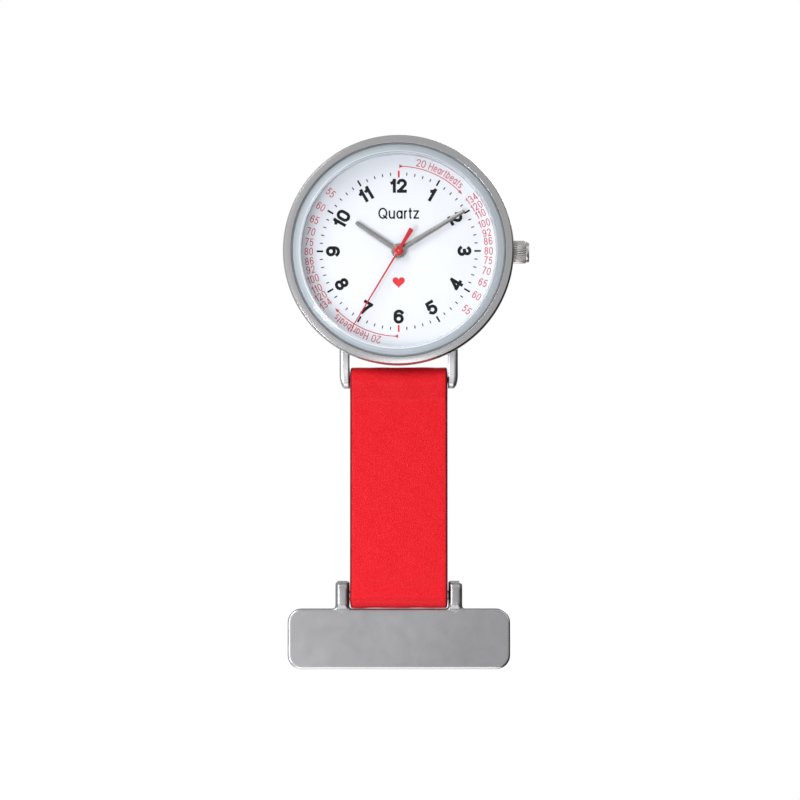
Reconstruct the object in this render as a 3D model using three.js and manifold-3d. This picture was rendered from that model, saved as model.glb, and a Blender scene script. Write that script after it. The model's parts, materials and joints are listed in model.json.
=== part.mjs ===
// A nurse's fob watch: a quartz watch head hangs by a leather strap from a brooch bar with a safety pin.
// Lengths are millimetres. Each piece is modelled in the face frame, with the watch lying on its back:
// x to the right of the dial, y towards twelve, z out of the dial, origin on the brooch needle's axis.
// The last lines turn the whole model to hang as it is worn: bar on top, dial facing -Y.
import * as THREE from "three";
import { mergeVertices } from "three/addons/utils/BufferGeometryUtils.js";
import Module from "manifold-3d";

const wasm = await Module();
wasm.setup();

// ---- Driving dimensions -------------------------------------------------------------------------

const STRAP_WIDTH = 16;
const LEATHER = 1.02; // thickness of one layer
const ROD_RADIUS = 0.75; // both rods that the strap's loops turn on
const LOOP_PLAY = 0.28; // radial, between rod and leather
const ROD_Y = 7.15; // brooch rod, above the needle
const SPRING_BAR_Y = 42.5;
const HINGE_Z = 3.4; // height of both rods, in front of the needle

const BAR = { width: 36.5, height: 9.94, corner: 2.3, backZ: 2.6, frontZ: 4.2, bevel: 0.25 };
const BAR_LUG = { innerX: 8.24, outerX: 10.4, topY: 9.51, thickness: 2.8 };
const PIN = { hingeX: 11, tipX: -11.9, radius: 0.4, catchX: -10.6 };

const HEAD_Y = 63.73; // hands' axis, above the needle
const HEAD_BACK_Z = 0; // outer face of the case back, in the plane of the needle
const CASE_RADIUS = 19; // bezel's outer edge
const SHELL_RADIUS = 18.6; // case middle's side
const CASE_BORE = 16.4;
const LUG = { innerX: 8.1, outerX: 9.75, rootY: -15.2, rootZ: [1.7, 5.3], tipRadius: 1.4, corner: 1.3 };
const STEM_Z = 2.6; // crown and stem axis, above the case back's face
const CROWN = { radius: 1.88, innerX: 18.75, outerX: 21.5, rim: 0.55, flutes: 28, fluteRadius: 0.12 };
const CROWN_EDGE = { bevel: 0.3, bevelEnd: 0.1, flat: 0.5 }; // how far the rounded end stands in
const CROWN_TRAVEL = 0.7;
const CLEARANCE = 0.03; // running fits

// Heights above the case back's outer face, from back to front.
const LEVEL = {
  caseBack: [0, 0.8],
  caseBackWall: 2.2,
  caseBackGasket: [0.83, 1.17],
  shell: [0.85, 5.4],
  neckTop: 6.3,
  bridge: [1.5, 1.9],
  fourthWheel: [2.0, 2.18],
  thirdWheel: [2.3, 2.45],
  fifthWheel: [2.55, 2.7],
  centreWheel: [2.8, 2.95],
  mainPlate: [3.1, 3.5],
  minuteWheel: [3.58, 3.78],
  hourWheel: [3.85, 4.05],
  dialWasher: [4.1, 4.2],
  dial: [4.3, 4.7],
  rehaut: [4.72, 6.35],
  hourHand: [5.0, 5.14],
  minuteHand: [5.35, 5.47],
  secondHand: [5.7, 5.8],
  secondHub: [5.6, 5.95],
  bezel: [5.45, 7.55],
  crystalSeat: 6.36,
  crystalGasketTop: 7.3,
  crystal: [6.4, 7.75],
};

// Going train: a tooth count for each wheel and pinion, and the distance and direction of each arbor.
const TEETH = {
  rotorPinion: 8,
  fifthWheel: 40,
  fifthPinion: 8,
  fourthWheel: 48,
  fourthPinion: 8,
  thirdWheel: 60,
  thirdPinion: 8,
  centreWheel: 64,
  cannon: 12,
  minuteWheel: 36,
  minutePinion: 10,
  hourWheel: 40,
};
const CENTRE = new THREE.Vector2(0, 0);
const THIRD = polar(CENTRE, 3.6, 75);
const FIFTH = polar(CENTRE, 3.22, 165);
const ROTOR = polar(FIFTH, 2.4, 200);
const MINUTE_ARBOR = polar(CENTRE, 3.36, -35);
const BATTERY = { x: 2.6, y: -6.7, radius: 3.4, z: [1.05, 3.2] };
const MOVEMENT = { width: 15.3, height: 17.8, y: -1.7, corner: 2 };
const BRIDGE_SCREWS = [
  [4.6, -1.9],
  [-6.2, 5.9],
  [4.7, 5.9],
];
const LEVER = { x: 6.95, y: 2.6, reach: 2.33, z: [2.5, 2.7], root: 0.7, tip: 0.3, eye: 0.6, bore: 0.31 };
const LEVER_SWING = 2 * Math.asin(CROWN_TRAVEL / 2 / LEVER.reach);

// Where the hands stand at rest, in degrees clockwise from twelve: about eight minutes past ten.
const HOUR_ANGLE = 304;
const MINUTE_ANGLE = 58.7;
const SECOND_ANGLE = 211;

const BLADE = { root: 0.85, tip: 0.62 }; // widths of the hour and minute hands
const HOUR_HAND = { length: 8.52, hub: 1.15 };
const MINUTE_HAND = { length: 12.73, hub: 0.9 };
const NEEDLE = { length: 14.87, root: 0.3, tip: 0.16 };
const COUNTERWEIGHT = { length: 4.21, root: 0.5, tip: 0.95 };
const SECOND_HUB_RADIUS = 0.8;

// Facets round the large rings, and round small pins.
const RING_SIDES = 48;
const PIN_SIDES = 12;
const TINY_SIDES = 8;
const TUBE_SIDES = 24;
const BATTERY_SIDES = 32;
const MERGE_DISTANCE = 1e-4;
const OVERCUT = 0.1; // how far a tool reaches past what it cuts through

// ---- Materials ----------------------------------------------------------------------------------

const METALNESS = { metal: 1, other: 0 };
const FINISH = {
  brushedSteel: { color: 0x9c9c9f, roughness: 0.32, metalness: METALNESS.metal },
  polishedSteel: { color: 0xc8c8ca, roughness: 0.12, metalness: METALNESS.metal },
  springSteel: { color: 0xb4b4b6, roughness: 0.25, metalness: METALNESS.metal },
  brass: { color: 0xc9a24b, roughness: 0.3, metalness: METALNESS.metal },
  copper: { color: 0xb4602f, roughness: 0.35, metalness: METALNESS.metal },
  handGrey: { color: 0x7d7d80, roughness: 0.35, metalness: METALNESS.metal },
  redLacquer: { color: 0xe32a2e, roughness: 0.3, metalness: METALNESS.other },
  leather: { color: 0xe0202f, roughness: 0.55, metalness: METALNESS.other },
  whiteEnamel: { color: 0xf5f6fb, roughness: 0.4, metalness: METALNESS.other },
  glass: { color: 0xe8eef2, roughness: 0.05, metalness: METALNESS.other },
  rubber: { color: 0x1b1b1c, roughness: 0.8, metalness: METALNESS.other },
  whitePlastic: { color: 0xdcdcd6, roughness: 0.5, metalness: METALNESS.other },
  greyPlastic: { color: 0x6f7275, roughness: 0.5, metalness: METALNESS.other },
  circuitGreen: { color: 0x1f5a3a, roughness: 0.4, metalness: METALNESS.other },
};

// ---- Helpers ------------------------------------------------------------------------------------

function polar(from, distance, degrees) {
  const angle = THREE.MathUtils.degToRad(degrees);
  return new THREE.Vector2(
    from.x + distance * Math.cos(angle),
    from.y + distance * Math.sin(angle),
  );
}

function solidOf(geometry) {
  const bare = geometry.clone();
  bare.deleteAttribute("normal");
  bare.deleteAttribute("uv");
  const merged = mergeVertices(bare, MERGE_DISTANCE);
  return new wasm.Manifold(
    new wasm.Mesh({
      numProp: 3,
      vertProperties: new Float32Array(merged.attributes.position.array),
      triVerts: new Uint32Array(merged.index.array),
    }),
  );
}

function geometryOf(solid) {
  const mesh = solid.getMesh();
  const positions = new THREE.BufferAttribute(new Float32Array(mesh.vertProperties), 3);
  return new THREE.BufferGeometry()
    .setAttribute("position", positions)
    .setIndex(new THREE.BufferAttribute(new Uint32Array(mesh.triVerts), 1));
}

function join(first, ...others) {
  return geometryOf(others.reduce((solid, other) => solid.add(solidOf(other)), solidOf(first)));
}

function cut(base, ...tools) {
  return geometryOf(tools.reduce((solid, tool) => solid.subtract(solidOf(tool)), solidOf(base)));
}

function common(first, second) {
  return geometryOf(solidOf(first).intersect(solidOf(second)));
}

// A solid of revolution about z from [radius, z] pairs that run anticlockwise round the section.
// A section that leaves the axis is closed on itself.
function turned(section, sides = RING_SIDES) {
  const points = section.map(([r, z]) => new THREE.Vector2(r, z));
  if (section[0][0] > 0) points.push(points[0].clone());
  return new THREE.LatheGeometry(points, sides).rotateX(Math.PI / 2);
}

function ring(inner, outer, [low, high], sides = RING_SIDES) {
  return turned([[inner, low], [outer, low], [outer, high], [inner, high]], sides);
}

function pillar(radius, [low, high], at = CENTRE, sides = PIN_SIDES) {
  return new THREE.CylinderGeometry(radius, radius, high - low, sides)
    .rotateX(Math.PI / 2)
    .translate(at.x, at.y, (low + high) / 2);
}

// A round bar along x or along y, at the two other coordinates.
function barAlongX(radius, [low, high], y, z, sides = PIN_SIDES) {
  return new THREE.CylinderGeometry(radius, radius, high - low, sides)
    .rotateZ(Math.PI / 2)
    .translate((low + high) / 2, y, z);
}

function barAlongY(radius, [low, high], x, z, sides = PIN_SIDES) {
  return new THREE.CylinderGeometry(radius, radius, high - low, sides)
    .translate(x, (low + high) / 2, z);
}

function through([low, high]) {
  return [low - OVERCUT, high + OVERCUT];
}

// The stretch between two distances from the middle, on the right (hand 1) or on the left (hand -1).
function spanOf(hand, near, far) {
  return hand > 0 ? [near, far] : [-far, -near];
}

function box([x0, x1], [y0, y1], [z0, z1]) {
  return new THREE.BoxGeometry(x1 - x0, y1 - y0, z1 - z0)
    .translate((x0 + x1) / 2, (y0 + y1) / 2, (z0 + z1) / 2);
}

function roundedRectangle(width, height, corner) {
  const x = width / 2 - corner;
  const y = height / 2 - corner;
  const quarter = Math.PI / 2;
  return new THREE.Shape()
    .absarc(x, y, corner, 0, quarter)
    .absarc(-x, y, corner, quarter, 2 * quarter)
    .absarc(-x, -y, corner, 2 * quarter, 3 * quarter)
    .absarc(x, -y, corner, 3 * quarter, 4 * quarter);
}

function slab(shape, [low, high], curveSegments = 6) {
  return new THREE.ExtrudeGeometry(shape, {
    depth: high - low,
    bevelEnabled: false,
    curveSegments,
  }).translate(0, 0, low);
}

// Stands a section drawn in (y, z) along x.
function alongX(shape, [low, high], curveSegments = 6) {
  const turn = new THREE.Matrix4().makeBasis(
    new THREE.Vector3(0, 1, 0),
    new THREE.Vector3(0, 0, 1),
    new THREE.Vector3(1, 0, 0),
  );
  return slab(shape, [low, high], curveSegments).applyMatrix4(turn);
}

function piece(name, finish, geometry) {
  const mesh = new THREE.Mesh(geometry, new THREE.MeshStandardMaterial(FINISH[finish]));
  mesh.name = name;
  return mesh;
}

// ---- Gears --------------------------------------------------------------------------------------

const ADDENDUM = 0.9; // in modules
const DEDENDUM = 1.2;

// Teeth are straight-sided and pointed, with one tooth centred at the phase angle.
function gearShape(teeth, module, phase) {
  const pitchRadius = (teeth * module) / 2;
  const tipRadius = pitchRadius + ADDENDUM * module;
  const rootRadius = pitchRadius - DEDENDUM * module;
  const at = (radius, angle) => new THREE.Vector2(radius * Math.cos(angle), radius * Math.sin(angle));
  const outline = [];
  for (let tooth = 0; tooth < teeth; tooth += 1) {
    const middle = phase + (tooth * 2 * Math.PI) / teeth;
    outline.push(at(tipRadius, middle));
    outline.push(at(rootRadius, middle + Math.PI / teeth));
  }
  return new THREE.Shape(outline);
}

// The phase that puts a gap of the second gear on a tooth of the first, along the line of centres.
function meshedPhase(firstTeeth, firstPhase, from, to, secondTeeth) {
  const direction = Math.atan2(to.y - from.y, to.x - from.x);
  const onLine = ((direction - firstPhase) * firstTeeth) / (2 * Math.PI);
  return direction + Math.PI - ((0.5 - onLine) * 2 * Math.PI) / secondTeeth;
}

function moduleFor(from, to, firstTeeth, secondTeeth) {
  return (2 * from.distanceTo(to)) / (firstTeeth + secondTeeth);
}

const FIFTH_MODULE = moduleFor(ROTOR, FIFTH, TEETH.rotorPinion, TEETH.fifthWheel);
const FOURTH_MODULE = moduleFor(FIFTH, CENTRE, TEETH.fifthPinion, TEETH.fourthWheel);
const THIRD_MODULE = moduleFor(CENTRE, THIRD, TEETH.fourthPinion, TEETH.thirdWheel);
const CENTRE_MODULE = moduleFor(THIRD, CENTRE, TEETH.thirdPinion, TEETH.centreWheel);
const MINUTE_MODULE = moduleFor(CENTRE, MINUTE_ARBOR, TEETH.cannon, TEETH.minuteWheel);
const HOUR_MODULE = moduleFor(MINUTE_ARBOR, CENTRE, TEETH.minutePinion, TEETH.hourWheel);

const PIVOT = { radius: 0.1, z: [1.55, 3.45] };
const ARBOR = { radius: 0.2, z: [1.95, 3.05] };
const SECONDS_ARBOR = { radius: 0.13, z: [1.55, 5.92] };
const MAGNET = { radius: 0.75, z: [2.8, 3.05] };
const PINION_LEVEL = {
  rotor: [2.5, 2.8],
  fifth: [1.97, 2.4],
  fourth: [2.1, 2.52],
  third: [2.4, 3.02],
  minute: [3.7, 4.08],
};

function gear(teeth, module, level, phase = 0) {
  return slab(gearShape(teeth, module, phase), level);
}

// A wheel and a pinion on one arbor, whose thin pivots run in the bridge and in the main plate.
function arborWith(...gears) {
  const body = pillar(ARBOR.radius, ARBOR.z, CENTRE, TINY_SIDES);
  const pivots = pillar(PIVOT.radius, PIVOT.z, CENTRE, TINY_SIDES);
  return join(pivots, body, ...gears);
}

function placed(mesh, at) {
  mesh.position.set(at.x, at.y, 0);
  return mesh;
}

function rotor() {
  const magnet = pillar(MAGNET.radius, MAGNET.z);
  const pinion = gear(TEETH.rotorPinion, FIFTH_MODULE, PINION_LEVEL.rotor);
  return placed(piece("rotor", "springSteel", arborWith(magnet, pinion)), ROTOR);
}

function fifthWheel() {
  const phase = meshedPhase(TEETH.rotorPinion, 0, ROTOR, FIFTH, TEETH.fifthWheel);
  const wheel = gear(TEETH.fifthWheel, FIFTH_MODULE, LEVEL.fifthWheel, phase);
  const pinion = gear(TEETH.fifthPinion, FOURTH_MODULE, PINION_LEVEL.fifth);
  return placed(piece("fifth_wheel", "brass", arborWith(wheel, pinion)), FIFTH);
}

// The seconds wheel: its long arbor runs up through the cannon pinion to the second hand.
function fourthWheel() {
  const phase = meshedPhase(TEETH.fifthPinion, 0, FIFTH, CENTRE, TEETH.fourthWheel);
  return piece("fourth_wheel", "brass", join(
    pillar(SECONDS_ARBOR.radius, SECONDS_ARBOR.z),
    gear(TEETH.fourthWheel, FOURTH_MODULE, LEVEL.fourthWheel, phase),
    gear(TEETH.fourthPinion, THIRD_MODULE, PINION_LEVEL.fourth),
  ));
}

function thirdWheel() {
  const phase = meshedPhase(TEETH.fourthPinion, 0, CENTRE, THIRD, TEETH.thirdWheel);
  const wheel = gear(TEETH.thirdWheel, THIRD_MODULE, LEVEL.thirdWheel, phase);
  const pinion = gear(TEETH.thirdPinion, CENTRE_MODULE, PINION_LEVEL.third);
  return placed(piece("third_wheel", "brass", arborWith(wheel, pinion)), THIRD);
}

const CANNON = { bore: 0.2, radius: 0.46, z: [2.7, 5.55] };

function centreWheel() {
  const phase = meshedPhase(TEETH.thirdPinion, 0, THIRD, CENTRE, TEETH.centreWheel);
  const wheel = gear(TEETH.centreWheel, CENTRE_MODULE, LEVEL.centreWheel, phase);
  const bore = pillar(CANNON.radius + CLEARANCE, through(LEVEL.centreWheel));
  return piece("centre_wheel", "brass", cut(wheel, bore));
}

function cannonPinion() {
  const tube = ring(CANNON.bore, CANNON.radius, CANNON.z, PIN_SIDES);
  const leaves = gear(TEETH.cannon, MINUTE_MODULE, LEVEL.minuteWheel);
  const bore = pillar(CANNON.bore, through(CANNON.z));
  return piece("cannon_pinion", "springSteel", cut(join(tube, leaves), bore));
}

const MINUTE_STUD = { radius: 0.3, z: [3.3, 4.12] };

function minuteWheel() {
  const phase = meshedPhase(TEETH.cannon, 0, CENTRE, MINUTE_ARBOR, TEETH.minuteWheel);
  const wheel = gear(TEETH.minuteWheel, MINUTE_MODULE, LEVEL.minuteWheel, phase);
  const pinion = gear(TEETH.minutePinion, HOUR_MODULE, PINION_LEVEL.minute);
  const bore = pillar(MINUTE_STUD.radius + CLEARANCE, through([LEVEL.minuteWheel[0], MINUTE_STUD.z[1]]));
  return placed(piece("minute_wheel", "brass", cut(join(wheel, pinion), bore)), MINUTE_ARBOR);
}

const HOUR_TUBE = { bore: 0.5, radius: 0.75, z: [3.85, 5.2] };

function hourWheel() {
  const phase = meshedPhase(TEETH.minutePinion, 0, MINUTE_ARBOR, CENTRE, TEETH.hourWheel);
  const wheel = gear(TEETH.hourWheel, HOUR_MODULE, LEVEL.hourWheel, phase);
  const tube = ring(HOUR_TUBE.bore, HOUR_TUBE.radius, HOUR_TUBE.z, PIN_SIDES);
  const bore = pillar(HOUR_TUBE.bore, through(HOUR_TUBE.z));
  return piece("hour_wheel", "brass", cut(join(wheel, tube), bore));
}

// ---- Hands --------------------------------------------------------------------------------------

// A tapered baton from the hub to a rounded tip, pointing at twelve.
function baton(length, rootWidth, tipWidth) {
  const tip = tipWidth / 2;
  return new THREE.Shape()
    .moveTo(-rootWidth / 2, 0)
    .lineTo(rootWidth / 2, 0)
    .lineTo(tip, length - tip)
    .absarc(0, length - tip, tip, 0, Math.PI)
    .lineTo(-rootWidth / 2, 0);
}

function pointed(mesh, clockwiseDegrees) {
  mesh.rotation.z = -THREE.MathUtils.degToRad(clockwiseDegrees);
  return mesh;
}

function flatHand(name, level, hand, bore, angle) {
  const hub = pillar(hand.hub, level, CENTRE, TUBE_SIDES);
  const blade = slab(baton(hand.length, BLADE.root, BLADE.tip), level, 3);
  const hole = pillar(bore, through(level));
  return pointed(piece(name, "handGrey", cut(join(hub, blade), hole)), angle);
}

function secondHand() {
  const level = LEVEL.secondHand;
  const needle = slab(baton(NEEDLE.length, NEEDLE.root, NEEDLE.tip), level, 2);
  const { length, root, tip } = COUNTERWEIGHT;
  const weight = slab(baton(length, root, tip), level, 3).rotateZ(Math.PI);
  const collet = pillar(SECOND_HUB_RADIUS, LEVEL.secondHub, CENTRE, 20);
  const hole = pillar(SECONDS_ARBOR.radius + CLEARANCE / 2, through(LEVEL.secondHub));
  return pointed(piece("second_hand", "redLacquer", cut(join(collet, needle, weight), hole)), SECOND_ANGLE);
}

// ---- Movement -----------------------------------------------------------------------------------

function screwHoles(radius, level) {
  return BRIDGE_SCREWS.map(([x, y]) => pillar(radius, level, { x, y }, TINY_SIDES));
}

function pivotHoles(level) {
  return [THIRD, FIFTH, ROTOR].map((at) => pillar(PIVOT.radius + CLEARANCE, level, at, TINY_SIDES));
}

const STEM_BLOCK = { x: [4.4, 4.9], y: [-0.8, 0.8], z: [1.95, 3.2], bore: 0.33 };
const CLUTCH_WINDOW = { x: [5.05, 7.1], y: [-0.95, 0.95] };
const POST = { radius: 0.6, z: [1.92, 3.3], hole: 0.25, holeZ: [1.8, 3.45] };
const LEVER_STUD = { radius: 0.27, z: [2.3, 3.3] };
const BLIND_PIVOT = [3, 3.48]; // the plate's pivot holes stop short of its dial side

// The plastic plate that everything in the movement stands on, with pillars for the bridge screws.
function mainPlate() {
  const outline = roundedRectangle(MOVEMENT.width, MOVEMENT.height, MOVEMENT.corner);
  const plate = slab(outline, LEVEL.mainPlate, 4).translate(0, MOVEMENT.y, 0);
  const posts = BRIDGE_SCREWS.map(([x, y]) => pillar(POST.radius, POST.z, { x, y }));
  const minuteStud = pillar(MINUTE_STUD.radius, MINUTE_STUD.z, MINUTE_ARBOR, TINY_SIDES);
  const leverStud = pillar(LEVER_STUD.radius, LEVER_STUD.z, LEVER, TINY_SIDES);
  const block = box(STEM_BLOCK.x, STEM_BLOCK.y, STEM_BLOCK.z);
  return piece("main_plate", "greyPlastic", cut(
    join(plate, ...posts, minuteStud, leverStud, block),
    pillar(CANNON.radius + CLEARANCE, through(LEVEL.mainPlate)),
    pillar(BATTERY.radius + 0.1, through(LEVEL.mainPlate), BATTERY, BATTERY_SIDES),
    barAlongX(STEM_BLOCK.bore, through(STEM_BLOCK.x), 0, STEM_Z),
    box(CLUTCH_WINDOW.x, CLUTCH_WINDOW.y, through(LEVEL.mainPlate)),
    ...pivotHoles(BLIND_PIVOT),
    ...screwHoles(POST.hole, POST.holeZ),
  ));
}

const BRIDGE = { width: 12.4, height: 9.8, corner: 1.5, x: -1, y: 2, screwHole: 0.3 };

function trainBridge() {
  const outline = roundedRectangle(BRIDGE.width, BRIDGE.height, BRIDGE.corner);
  const plate = slab(outline, LEVEL.bridge, 4).translate(BRIDGE.x, BRIDGE.y, 0);
  const span = through(LEVEL.bridge);
  return piece("train_bridge", "springSteel", cut(
    plate,
    pillar(SECONDS_ARBOR.radius + CLEARANCE, span, CENTRE, TINY_SIDES),
    ...pivotHoles(span),
    ...screwHoles(BRIDGE.screwHole, span),
  ));
}

const SCREW = { head: 0.5, headZ: [1.2, 1.48], shank: 0.22, shankZ: [1.4, 3.2], slot: 0.07, slotTop: 1.3 };

function bridgeScrews() {
  return BRIDGE_SCREWS.map(([x, y], index) => {
    const head = pillar(SCREW.head, SCREW.headZ);
    const shank = pillar(SCREW.shank, SCREW.shankZ, CENTRE, TINY_SIDES);
    const depth = [SCREW.headZ[0] - OVERCUT, SCREW.slotTop];
    const slot = box(through([-SCREW.head, SCREW.head]), [-SCREW.slot, SCREW.slot], depth);
    const name = `bridge_screw_${index + 1}`;
    return placed(piece(name, "springSteel", cut(join(head, shank), slot)), { x, y });
  });
}

const STATOR = { x: -5.35, y: -0.85, width: 3.3, height: 5.1, corner: 0.8, hole: 1, z: [2.85, 3.05] };
const WINDING = { x: [-6.7, -4.1], y: [-8.9, -4.2], z: [1.6, 3.05] };
const CORE = { x: [-6, -4.8], y: [-10, -2.7], z: [2.2, 2.8] };
const BOARD = { x: [-7, -1.2], y: [-10.1, -3.1], z: [1.2, 1.45] };
const CAN = { radius: 0.6, x: -2.4, y: [-9, -4.2], z: 2.1 };
const CLIP = { x: [-0.2, 6.4], y: [-7.7, -5.7], z: [0.86, 1], foot: 0.2, footZ: 3.08 };

function stator() {
  const outline = roundedRectangle(STATOR.width, STATOR.height, STATOR.corner);
  const plate = slab(outline, STATOR.z, 3).translate(STATOR.x, STATOR.y, 0);
  return piece("stator", "springSteel", cut(plate, pillar(STATOR.hole, through(STATOR.z), ROTOR)));
}

function coil() {
  const winding = box(WINDING.x, WINDING.y, WINDING.z);
  return piece("coil", "copper", join(winding, box(CORE.x, CORE.y, CORE.z)));
}

function electronics() {
  const board = box(BOARD.x, BOARD.y, BOARD.z);
  const can = barAlongY(CAN.radius, CAN.y, CAN.x, CAN.z);
  const batteryCell = turned([
    [0, BATTERY.z[0]],
    [2.9, BATTERY.z[0]],
    [3.1, 1.35],
    [BATTERY.radius, 1.45],
    [BATTERY.radius, BATTERY.z[1]],
    [0, BATTERY.z[1]],
  ], BATTERY_SIDES);
  const clip = join(
    box(CLIP.x, CLIP.y, CLIP.z),
    box([CLIP.x[1] - CLIP.foot, CLIP.x[1]], CLIP.y, [CLIP.z[0], CLIP.footZ]),
  );
  return [
    piece("circuit_board", "circuitGreen", board),
    piece("quartz_oscillator", "polishedSteel", can),
    placed(piece("battery", "polishedSteel", batteryCell), BATTERY),
    piece("battery_clip", "springSteel", clip),
  ];
}

// It stands inside the case back's wall and steps out above it.
const HOLDER = { radius: 16.2, z: [1, 4.25], innerRadius: 15.3, stepZ: 2.4, play: 0.1, stemHole: 0.7 };

function movementHolder() {
  const [low, high] = HOLDER.z;
  const body = turned([
    [0, low],
    [HOLDER.innerRadius, low],
    [HOLDER.innerRadius, HOLDER.stepZ],
    [HOLDER.radius, HOLDER.stepZ],
    [HOLDER.radius, high],
    [0, high],
  ]);
  const width = MOVEMENT.width + 2 * HOLDER.play;
  const height = MOVEMENT.height + 2 * HOLDER.play;
  const pocket = slab(roundedRectangle(width, height, MOVEMENT.corner), through(HOLDER.z), 4)
    .translate(0, MOVEMENT.y, 0);
  const stemHole = barAlongX(HOLDER.stemHole, through([MOVEMENT.width / 2, HOLDER.radius]), 0, STEM_Z);
  return piece("movement_holder", "whitePlastic", cut(body, pocket, stemHole));
}

// ---- Crown and setting parts --------------------------------------------------------------------

const TUBE = { bore: 0.62, radius: 1, innerX: 16.3, outerX: 19.85 };
const STEM = { radius: 0.45, pilot: 0.3, square: 0.4, x: [4, 20.8], squareX: [5.2, 6.2] };
const GROOVE = { x: 6.6, width: 0.45, radius: 0.22 };
const CLUTCH = { teeth: 12, module: 0.11, x: [5.3, 6.1], bore: 0.47 };
const CROWN_CAVITY = { radius: 1.25, endX: 20 };

function crownTube() {
  const tube = cut(
    barAlongX(TUBE.radius, [TUBE.innerX, TUBE.outerX], 0, STEM_Z, TUBE_SIDES),
    barAlongX(TUBE.bore, through([TUBE.innerX, TUBE.outerX]), 0, STEM_Z, TUBE_SIDES),
  );
  return piece("crown_tube", "springSteel", tube);
}

// A solid turned about the stem's axis, from [radius, x] pairs.
function turnedOnStem(section, sides) {
  return turned(section, sides).rotateY(Math.PI / 2).translate(0, 0, STEM_Z);
}

function settingStem() {
  const groove = [GROOVE.x - GROOVE.width / 2, GROOVE.x + GROOVE.width / 2];
  const [start, end] = STEM.x;
  return piece("setting_stem", "springSteel", turnedOnStem([
    [0, start],
    [STEM.pilot, start],
    [STEM.pilot, STEM.squareX[0]],
    [STEM.square, STEM.squareX[0]],
    [STEM.radius, STEM.squareX[1]],
    [STEM.radius, groove[0]],
    [GROOVE.radius, groove[0]],
    [GROOVE.radius, groove[1]],
    [STEM.radius, groove[1]],
    [STEM.radius, end],
    [0, end],
  ], PIN_SIDES));
}

function clutchWheel() {
  const teeth = alongX(gearShape(CLUTCH.teeth, CLUTCH.module, 0), CLUTCH.x).translate(0, 0, STEM_Z);
  return piece("clutch_wheel", "springSteel", cut(
    teeth,
    barAlongX(CLUTCH.bore, through(CLUTCH.x), 0, STEM_Z),
  ));
}

const CROWN_GASKET = { inner: 1.03, outer: 1.22, x: [18.8, 19.1] };

function crownGasket() {
  const { inner, outer, x: [start, end] } = CROWN_GASKET;
  const washer = turnedOnStem([[inner, start], [outer, start], [outer, end], [inner, end]], TUBE_SIDES);
  return piece("crown_gasket", "rubber", washer);
}

// Rounded flutes run along the rim and stop at the chamfered outer end.
function crown() {
  const rimX = CROWN.outerX - CROWN.rim;
  const sides = CROWN.flutes * 2;
  const body = turnedOnStem([
    [0, CROWN.innerX],
    [CROWN.radius, CROWN.innerX],
    [CROWN.radius, rimX],
    [CROWN.radius - CROWN_EDGE.bevel, CROWN.outerX - CROWN_EDGE.bevelEnd],
    [CROWN.radius - CROWN_EDGE.flat, CROWN.outerX],
    [0, CROWN.outerX],
  ], sides);
  const flutes = [];
  for (let flute = 0; flute < CROWN.flutes; flute += 1) {
    const angle = ((flute + 0.5) * 2 * Math.PI) / CROWN.flutes;
    const y = CROWN.radius * Math.cos(angle);
    const z = STEM_Z + CROWN.radius * Math.sin(angle);
    flutes.push(barAlongX(CROWN.fluteRadius, through([CROWN.innerX, rimX]), y, z, 6));
  }
  return piece("crown", "polishedSteel", cut(
    body,
    barAlongX(CROWN_CAVITY.radius, [CROWN.innerX - OVERCUT, CROWN_CAVITY.endX], 0, STEM_Z, TUBE_SIDES),
    barAlongX(STEM.radius + CLEARANCE, [CROWN.innerX - OVERCUT, STEM.x[1] + CLEARANCE], 0, STEM_Z),
    ...flutes,
  ));
}

// Pulling the crown swings this lever, whose tip sits in the stem's groove.
function settingLever() {
  const eye = pillar(LEVER.eye, LEVER.z);
  const arm = slab(baton(LEVER.reach, LEVER.root, LEVER.tip), LEVER.z, 3).rotateZ(Math.PI);
  const bore = pillar(LEVER.bore, through(LEVER.z));
  const lever = piece("setting_lever", "springSteel", cut(join(eye, arm), bore));
  lever.rotation.z = -LEVER_SWING / 2;
  return placed(lever, LEVER);
}

// ---- Case ---------------------------------------------------------------------------------------

const SPRING_BAR = { bodyX: 8.05, tip: 0.4, tipX: 9.2 };

// A lug on the right (hand 1) or left (hand -1): its side view tapers to a round tip at the spring bar,
// and its outer corner is rounded.
function lug(hand) {
  const barY = SPRING_BAR_Y - HEAD_Y;
  const barZ = HINGE_Z - HEAD_BACK_Z;
  const side = new THREE.Shape()
    .moveTo(LUG.rootY, LUG.rootZ[0])
    .lineTo(LUG.rootY, LUG.rootZ[1])
    .absarc(barY, barZ, LUG.tipRadius, Math.PI / 2, (3 * Math.PI) / 2);
  const tipY = barY - LUG.tipRadius - OVERCUT;
  const { corner } = LUG;
  const outline = new THREE.Shape()
    .moveTo(LUG.innerX, LUG.rootY + OVERCUT)
    .lineTo(LUG.innerX, tipY)
    .lineTo(LUG.outerX - corner, tipY)
    .absarc(LUG.outerX - corner, tipY + corner, corner, (3 * Math.PI) / 2, 2 * Math.PI)
    .lineTo(LUG.outerX, LUG.rootY + OVERCUT);
  const [, height] = through(LUG.rootZ);
  const front = slab(outline, [0, height], 5);
  if (hand < 0) front.rotateY(Math.PI).translate(0, 0, height);
  const body = common(alongX(side, spanOf(hand, LUG.innerX, LUG.outerX), 8), front);
  const { tip, tipX } = SPRING_BAR;
  const socket = spanOf(hand, LUG.innerX - OVERCUT, tipX + 0.05);
  return cut(body, barAlongX(tip + 0.05, socket, barY, barZ));
}

const SHELL = { foot: 17.8, footTop: 2.2, neck: 17.9 };
const BACK_GASKET = { inner: 16.6, outer: 17.1, play: 0.05 };

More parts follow.
